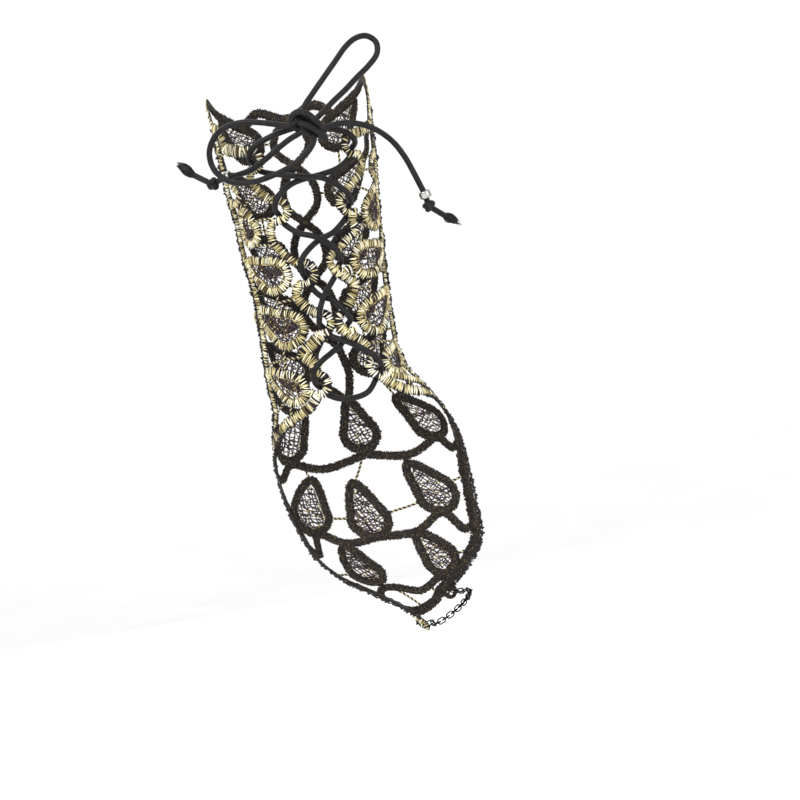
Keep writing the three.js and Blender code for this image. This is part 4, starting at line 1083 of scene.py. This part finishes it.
# The bow: two loops and two tails of the same waxed cord, which leave the knot and hang free. The braid
# is a little stiff, so that the loops keep their round shape.
BOW_LOOP_LEFT = [
    (1.8, -33.8, 91.6), (-0.4, -34.2, 90.8), (-3.6, -34.2, 90.2), (-8, -33.8, 91.4), (-14, -33, 93.2),
    (-21, -31.5, 94.6), (-28.6, -28.5, 93.8), (-33.6, -25.5, 90.2), (-36, -23.8, 84.6), (-34.8, -23.6, 77.8),
    (-29.4, -26, 72.4), (-21.8, -29.4, 70.6), (-12, -32.8, 71.8), (-4.5, -34.8, 74.2), (1.6, -36, 77.8),
    (5, -36.4, 81.4), (6.4, -34.6, 85.2),
]
BOW_LOOP_UPPER = [
    (2.2, -33.5, 93.2), (4.4, -33.4, 97.0), (8.2, -32.6, 101.2), (13.8, -31.4, 107), (19.8, -30, 113.2),
    (25.2, -28.8, 118.6), (29.6, -28.1, 121.2), (34, -27.7, 121.4), (37.3, -27.7, 118.4), (37, -28.1, 113.9),
    (32.8, -29, 109.4), (27.2, -30, 105.3), (22, -31.4, 101.2), (16, -33, 97), (11, -34.4, 93.2),
    (6.0, -34.0, 89.8),
]
TAIL_LEFT = [
    (3.6, -33.8, 88.0), (0.2, -33.4, 86.4), (-3.4, -32.4, 85.0), (-8, -31.2, 82.6), (-14, -29.4, 79.0),
    (-20, -26.6, 76.0), (-25.5, -23.0, 75.0), (-30.3, -20.2, 74.9), (-33.4, -18.4, 74.4),
    (-36.2, -17.0, 73.6), (-40.4, -15.6, 76.2), (-45.2, -14.4, 80.0), (-48.0, -13.8, 82.6),
]
TAIL_RIGHT = [
    (6.8, -34.0, 86.4), (11.6, -33.6, 87.2), (15.4, -33.2, 87.8), (21, -31.8, 87.6), (28, -29, 85.6),
    (34, -26, 81.8), (38.2, -23.8, 77.4), (41.8, -21.6, 71.2), (44.6, -19.8, 64), (46.2, -18.8, 59.4),
    (47.6, -18.1, 55.4), (48.6, -17.6, 50.8), (52, -16.8, 47.6), (55.6, -16.0, 44.8), (58, -15.6, 43),
]
BOW_LOOPS = [("bow_loop_left", BOW_LOOP_LEFT, 0.104), ("bow_loop_upper", BOW_LOOP_UPPER, 0.094)]
for name, stops, length in BOW_LOOPS:
    loop, path = cord_piece(name, stops, [name])
    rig.cord(loop, exit=path[0], length=length, diameter=0.0024, far_end="object", stiffness="medium",
            lay="loose", path=path)

# Beads and cord ends: each tail carries a small rounded bead against a knot. Past it the cord is cut, and its braid has
# come undone into a short bulb of strands. The bead is brass with a polished silver plate, which mirrors the room and
# is a little clouded. Its colour is kept darker than bare silver, a painted reflection of darker surroundings.
BEAD_OUTER = 5.0
BEAD_HOLE = 3.4
BEAD_LONG = 3.2
BEAD_SIDES = 40


def plated(name, metallic, scale, detail, colours, smooth, dull):
    """Plated metal with a fine cloud in it. Smooth and dull are each a value of the cloud and a roughness."""
    material, tree, shader = new_material(name, Metallic=metallic)
    where = add_node(tree, "ShaderNodeTexCoord")
    cloud = add_node(tree, "ShaderNodeTexNoise", {"noise_dimensions": "3D"},
                     {"Vector": where.outputs["Object"], "Scale": scale, "Detail": detail}).outputs["Fac"]
    colour = add_node(tree, "ShaderNodeValToRGB", inputs={"Fac": cloud}, stops=colours)
    tree.links.new(colour.outputs["Color"], shader.inputs["Base Color"])
    rough = add_node(tree, "ShaderNodeMapRange", {"clamp": True},
                     {"Value": cloud, "From Min": smooth[0], "From Max": dull[0], "To Min": smooth[1],
                      "To Max": dull[1]})
    tree.links.new(rough.outputs[0], shader.inputs["Roughness"])
    return material


# The silver's colours are darker than bare silver: painted reflection.
silver = plated("polished_silver_plate", 1.0, 500.0, 3.0, [(0.3, "#8f8e8c"), (0.7, "#bdbbb8")],
                (0.3, 0.1), (0.7, 0.2))


def round_way(way):
    """A direction of the cord and two across it."""
    axis = unit(np.asarray(way, float))
    across = unit(np.cross(axis, (0.1, 0.2, 0.97)))
    return axis, across, np.cross(axis, across)


def bead_piece(name, middle, way):
    """A short tube with rounded rims, turned about the cord."""
    rim = np.linspace(-np.pi / 2, np.pi / 2, 7)
    half_wall = (BEAD_OUTER - BEAD_HOLE) / 2 / 2
    wall_middle = BEAD_HOLE / 2 + half_wall
    profile = [(wall_middle + half_wall * math.cos(a) ** 0.6, BEAD_LONG / 2 * math.sin(a)) for a in rim]
    profile += [(wall_middle - half_wall * math.cos(a) ** 0.6, BEAD_LONG / 2 * math.sin(a))
                for a in rim[::-1][1:-1]]
    axis, across, up = round_way(way)
    points = []
    for a in 2 * np.pi * np.arange(BEAD_SIDES) / BEAD_SIDES:
        outward = across * math.cos(a) + up * math.sin(a)
        points += [middle + axis * h + r * outward for r, h in profile]
    faces = grid_faces(BEAD_SIDES, len(profile), closed_rows=True)
    return show(name, points, faces, silver, "silver", [name])


def coil(middle, way, radius, turns, long, phase=0.0):
    """Turns of cord round the cord's own line, with both ends tucked in."""
    axis, across, up = round_way(way)
    t = np.linspace(0, 1, 30)
    swell = radius * np.clip(np.minimum(t, 1 - t) * 9, 0.15, 1)
    angle = phase + 2 * np.pi * turns * t
    return (middle + axis * (long * (t - 0.5))[:, None] + across * (swell * np.cos(angle))[:, None]
            + up * (swell * np.sin(angle))[:, None])


FRAY_ROOT = 0.95
FRAY_STRANDS = 11
FRAY_STRAND_THICK = (0.3, 0.5)
FRAY_WISPS = 9
FRAY_WISP_LONG = (0.8, 2.4)
FRAY_WISP_THICK = 0.15
FRAY_PAST = 1.2


def frayed_end(root, way, long, swell):
    """Strands of the unravelled cord, which swell out of it, close again and end in a wisp."""
    axis, across, up = round_way(way)
    t = np.linspace(0, 1, 14)
    bulb = FRAY_ROOT + (swell - FRAY_ROOT) * np.sin(np.pi * np.clip(t, 0, 0.96) ** 0.9) ** 1.3
    strands = [(root + axis * (long * t)[:, None], np.clip(bulb - 0.2, 0.6, None))]
    for k in range(FRAY_STRANDS):
        angle = 2 * np.pi * k / FRAY_STRANDS + dice.normal(0, 0.15) + dice.normal(0.5, 0.5) * t
        spread = bulb * (1 + 0.16 * np.sin(5 * t + 2.1 * k)) - 0.1
        reach = long * dice.uniform(0.86, 1.12) * t
        path = (root + axis * reach[:, None] + across * (spread * np.cos(angle))[:, None]
                + up * (spread * np.sin(angle))[:, None])
        strands.append((path, dice.uniform(*FRAY_STRAND_THICK) * (1 - 0.45 * t)))
    tip = root + axis * long * 0.92
    for k in range(FRAY_WISPS):
        splay = dice.normal(0, 0.35, 3)
        start = tip + dice.normal(0, 0.35, 3)
        reach = t[:, None] * dice.uniform(*FRAY_WISP_LONG)
        strands.append((start + (axis + splay * t[:, None]) * reach, FRAY_WISP_THICK * (1 - 0.6 * t)))
    return strands


TAILS = [
    # side, route, the stops of bead and knot, length and half width of the bulb, length of the cord
    ("left", TAIL_LEFT, 7, 9, 8.2, 2.1, 0.062),
    ("right", TAIL_RIGHT, 10, 11, 6.2, 1.75, 0.078),
]
for side, stops, bead, stop, bulb_long, bulb_half, length in TAILS:
    run = np.array(stops)
    name = "tail_" + side
    tail, path = cord_piece(name, stops, [name])
    bead_made = bead_piece("bead_" + side, run[bead], run[bead + 1] - run[bead - 1])
    way_stop = run[stop + 1] - run[stop - 1]
    way_end = unit(run[-1] - run[-2])
    strands = [
        (coil(run[stop], way_stop, 1.5, 1.6, 2.8), 1.2),
        (coil(run[stop], way_stop, 1.4, 1.3, 1.8, phase=2.4), 1.1),
    ]
    strands += frayed_end(run[-1] - way_end * (bulb_long - FRAY_PAST), way_end, bulb_long, bulb_half)
    knots = turns_piece("tail_knots_" + side, strands, [name])
    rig.cord(tail, exit=path[0], length=length, diameter=0.0024, far_end="knot", stiffness="medium",
            lay="hanging", path=path, with_pieces=[bead_made, knots])


# The finger chain: oval cable links of 0.6 mm wire between two jump rings, bent from steel wire. A glossy
# black plating gives them sharp lights, and it is worn a little greyer in places.
CHAIN_WIRE = 0.6
LINK_LONG = 4.0
LINK_WIDE = 2.8
LINK_COUNT = 17
JUMP_RING_RADIUS = 2.7
WIRE_SIDES = 10

black_steel = plated("black_plated_steel", 0.9, 700.0, 4.0,
                     [(0.35, "#060606"), (0.6, "#0d0d0e"), (0.8, "#1c1c1e")], (0.3, 0.16), (0.8, 0.34))


def lie_of(node):
    """Middle, long axis, wide axis and normal of a ring or link where it lies in the frame."""
    co = np.array([v.co for v in bpy.data.objects[node].data.vertices], float) / METRE
    middle = co.mean(0)
    _, _, axes = np.linalg.svd(co - middle, full_matrices=False)
    return middle, axes[0], axes[1], axes[2]


def wire_ring(node, half_long, half_wide, count):
    """A ring of round wire: half circles at both ends, straight between."""
    middle, long, wide, normal = lie_of(node)
    angles = 2 * np.pi * np.arange(count) / count
    straight = (half_long - half_wide) * np.sign(np.round(np.cos(angles), 6))
    centre = (middle + long * (half_wide * np.cos(angles) + straight)[:, None]
              + wide * (half_wide * np.sin(angles))[:, None])
    outward = unit(long * np.cos(angles)[:, None] + wide * np.sin(angles)[:, None])
    points = rings_round(centre, CHAIN_WIRE / 2, outward, normal, WIRE_SIDES)
    faces = grid_faces(count, WIRE_SIDES, closed_rows=True)
    show(node, points.reshape(-1, 3), faces, black_steel, "black_metal", [node])


for side in ("left", "right"):
    wire_ring("jump_ring_" + side, JUMP_RING_RADIUS, JUMP_RING_RADIUS, 40)
for number in range(1, LINK_COUNT + 1):
    wire_ring(f"chain_link_{number:02d}", (LINK_LONG - CHAIN_WIRE) / 2, (LINK_WIDE - CHAIN_WIRE) / 2, 30)


# The studio: a white bowl of matt paper, flat below and curving up all round, with large soft lamps.
FLOOR = -0.2
FLOOR_RADIUS = 1.7
CURVE_RADIUS = 0.6
WALL_TOP = 2.6
BOWL_SIDES = 96
ROOM_LIGHT = 0.85

profile = [(0.001, FLOOR), (FLOOR_RADIUS / 2, FLOOR)]
profile += [(FLOOR_RADIUS + CURVE_RADIUS * math.sin(a), FLOOR + CURVE_RADIUS * (1 - math.cos(a)))
            for a in np.linspace(0, math.pi / 2, 13)]
profile.append((FLOOR_RADIUS + CURVE_RADIUS, WALL_TOP))
bowl_mesh = bpy.data.meshes.new("paper_bowl")
bowl_points = [(r * math.cos(a), r * math.sin(a), z) for r, z in profile
               for a in 2 * math.pi * np.arange(BOWL_SIDES) / BOWL_SIDES]
bowl_mesh.from_pydata(bowl_points, [], grid_faces(len(profile), BOWL_SIDES)[:-2])
bowl_mesh.polygons.foreach_set("use_smooth", np.ones(len(bowl_mesh.polygons), bool))
paper, paper_tree, paper_shader = new_material("white_paper", Roughness=0.9, Specular_IOR_Level=0.1)
fibre = add_node(paper_tree, "ShaderNodeTexNoise", {"noise_dimensions": "3D"}, {"Scale": 60.0, "Detail": 2.0})
white = add_node(paper_tree, "ShaderNodeValToRGB", inputs={"Fac": fibre.outputs["Fac"]},
                 stops=[(0.0, "#f4f4f4"), (1.0, "#ffffff")])
paper_tree.links.new(white.outputs["Color"], paper_shader.inputs["Base Color"])
bowl_mesh.materials.append(paper)
bowl = put("paper_bowl", bowl_mesh)
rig.stage(bowl)

world = bpy.data.worlds.new("studio")
world.use_nodes = True
world.node_tree.nodes["Background"].inputs["Color"].default_value = linear("#ffffff")
world.node_tree.nodes["Background"].inputs["Strength"].default_value = ROOM_LIGHT
bpy.context.scene.world = world

LAMPS = [
    # name, place, size, watts
    ("key", (-0.7, -1.1, 0.9), 0.6, 14),
    ("fill", (0.9, -0.9, 0.3), 0.9, 4),
    ("top", (0.1, 0.2, 1.4), 0.9, 5),
    ("back", (-0.3, 1.2, 0.6), 0.9, 7),
]
for name, place, size, watts in LAMPS:
    lamp = bpy.data.lights.new(name, "AREA")
    lamp.shape = "DISK"
    lamp.size = size
    lamp.energy = watts
    holder = put(name, lamp)
    holder.location = place
    holder.rotation_mode = "QUATERNION"
    holder.rotation_quaternion = (-Vector(place)).to_track_quat("-Z", "Y")
bpy.context.scene.view_settings.view_transform = "Standard"

shown_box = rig.bounds()
with open("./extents.json", "w") as size_file:
    json.dump({"cad": [list(corner) for corner in cad_box], "shown": [list(corner) for corner in shown_box]}, size_file)
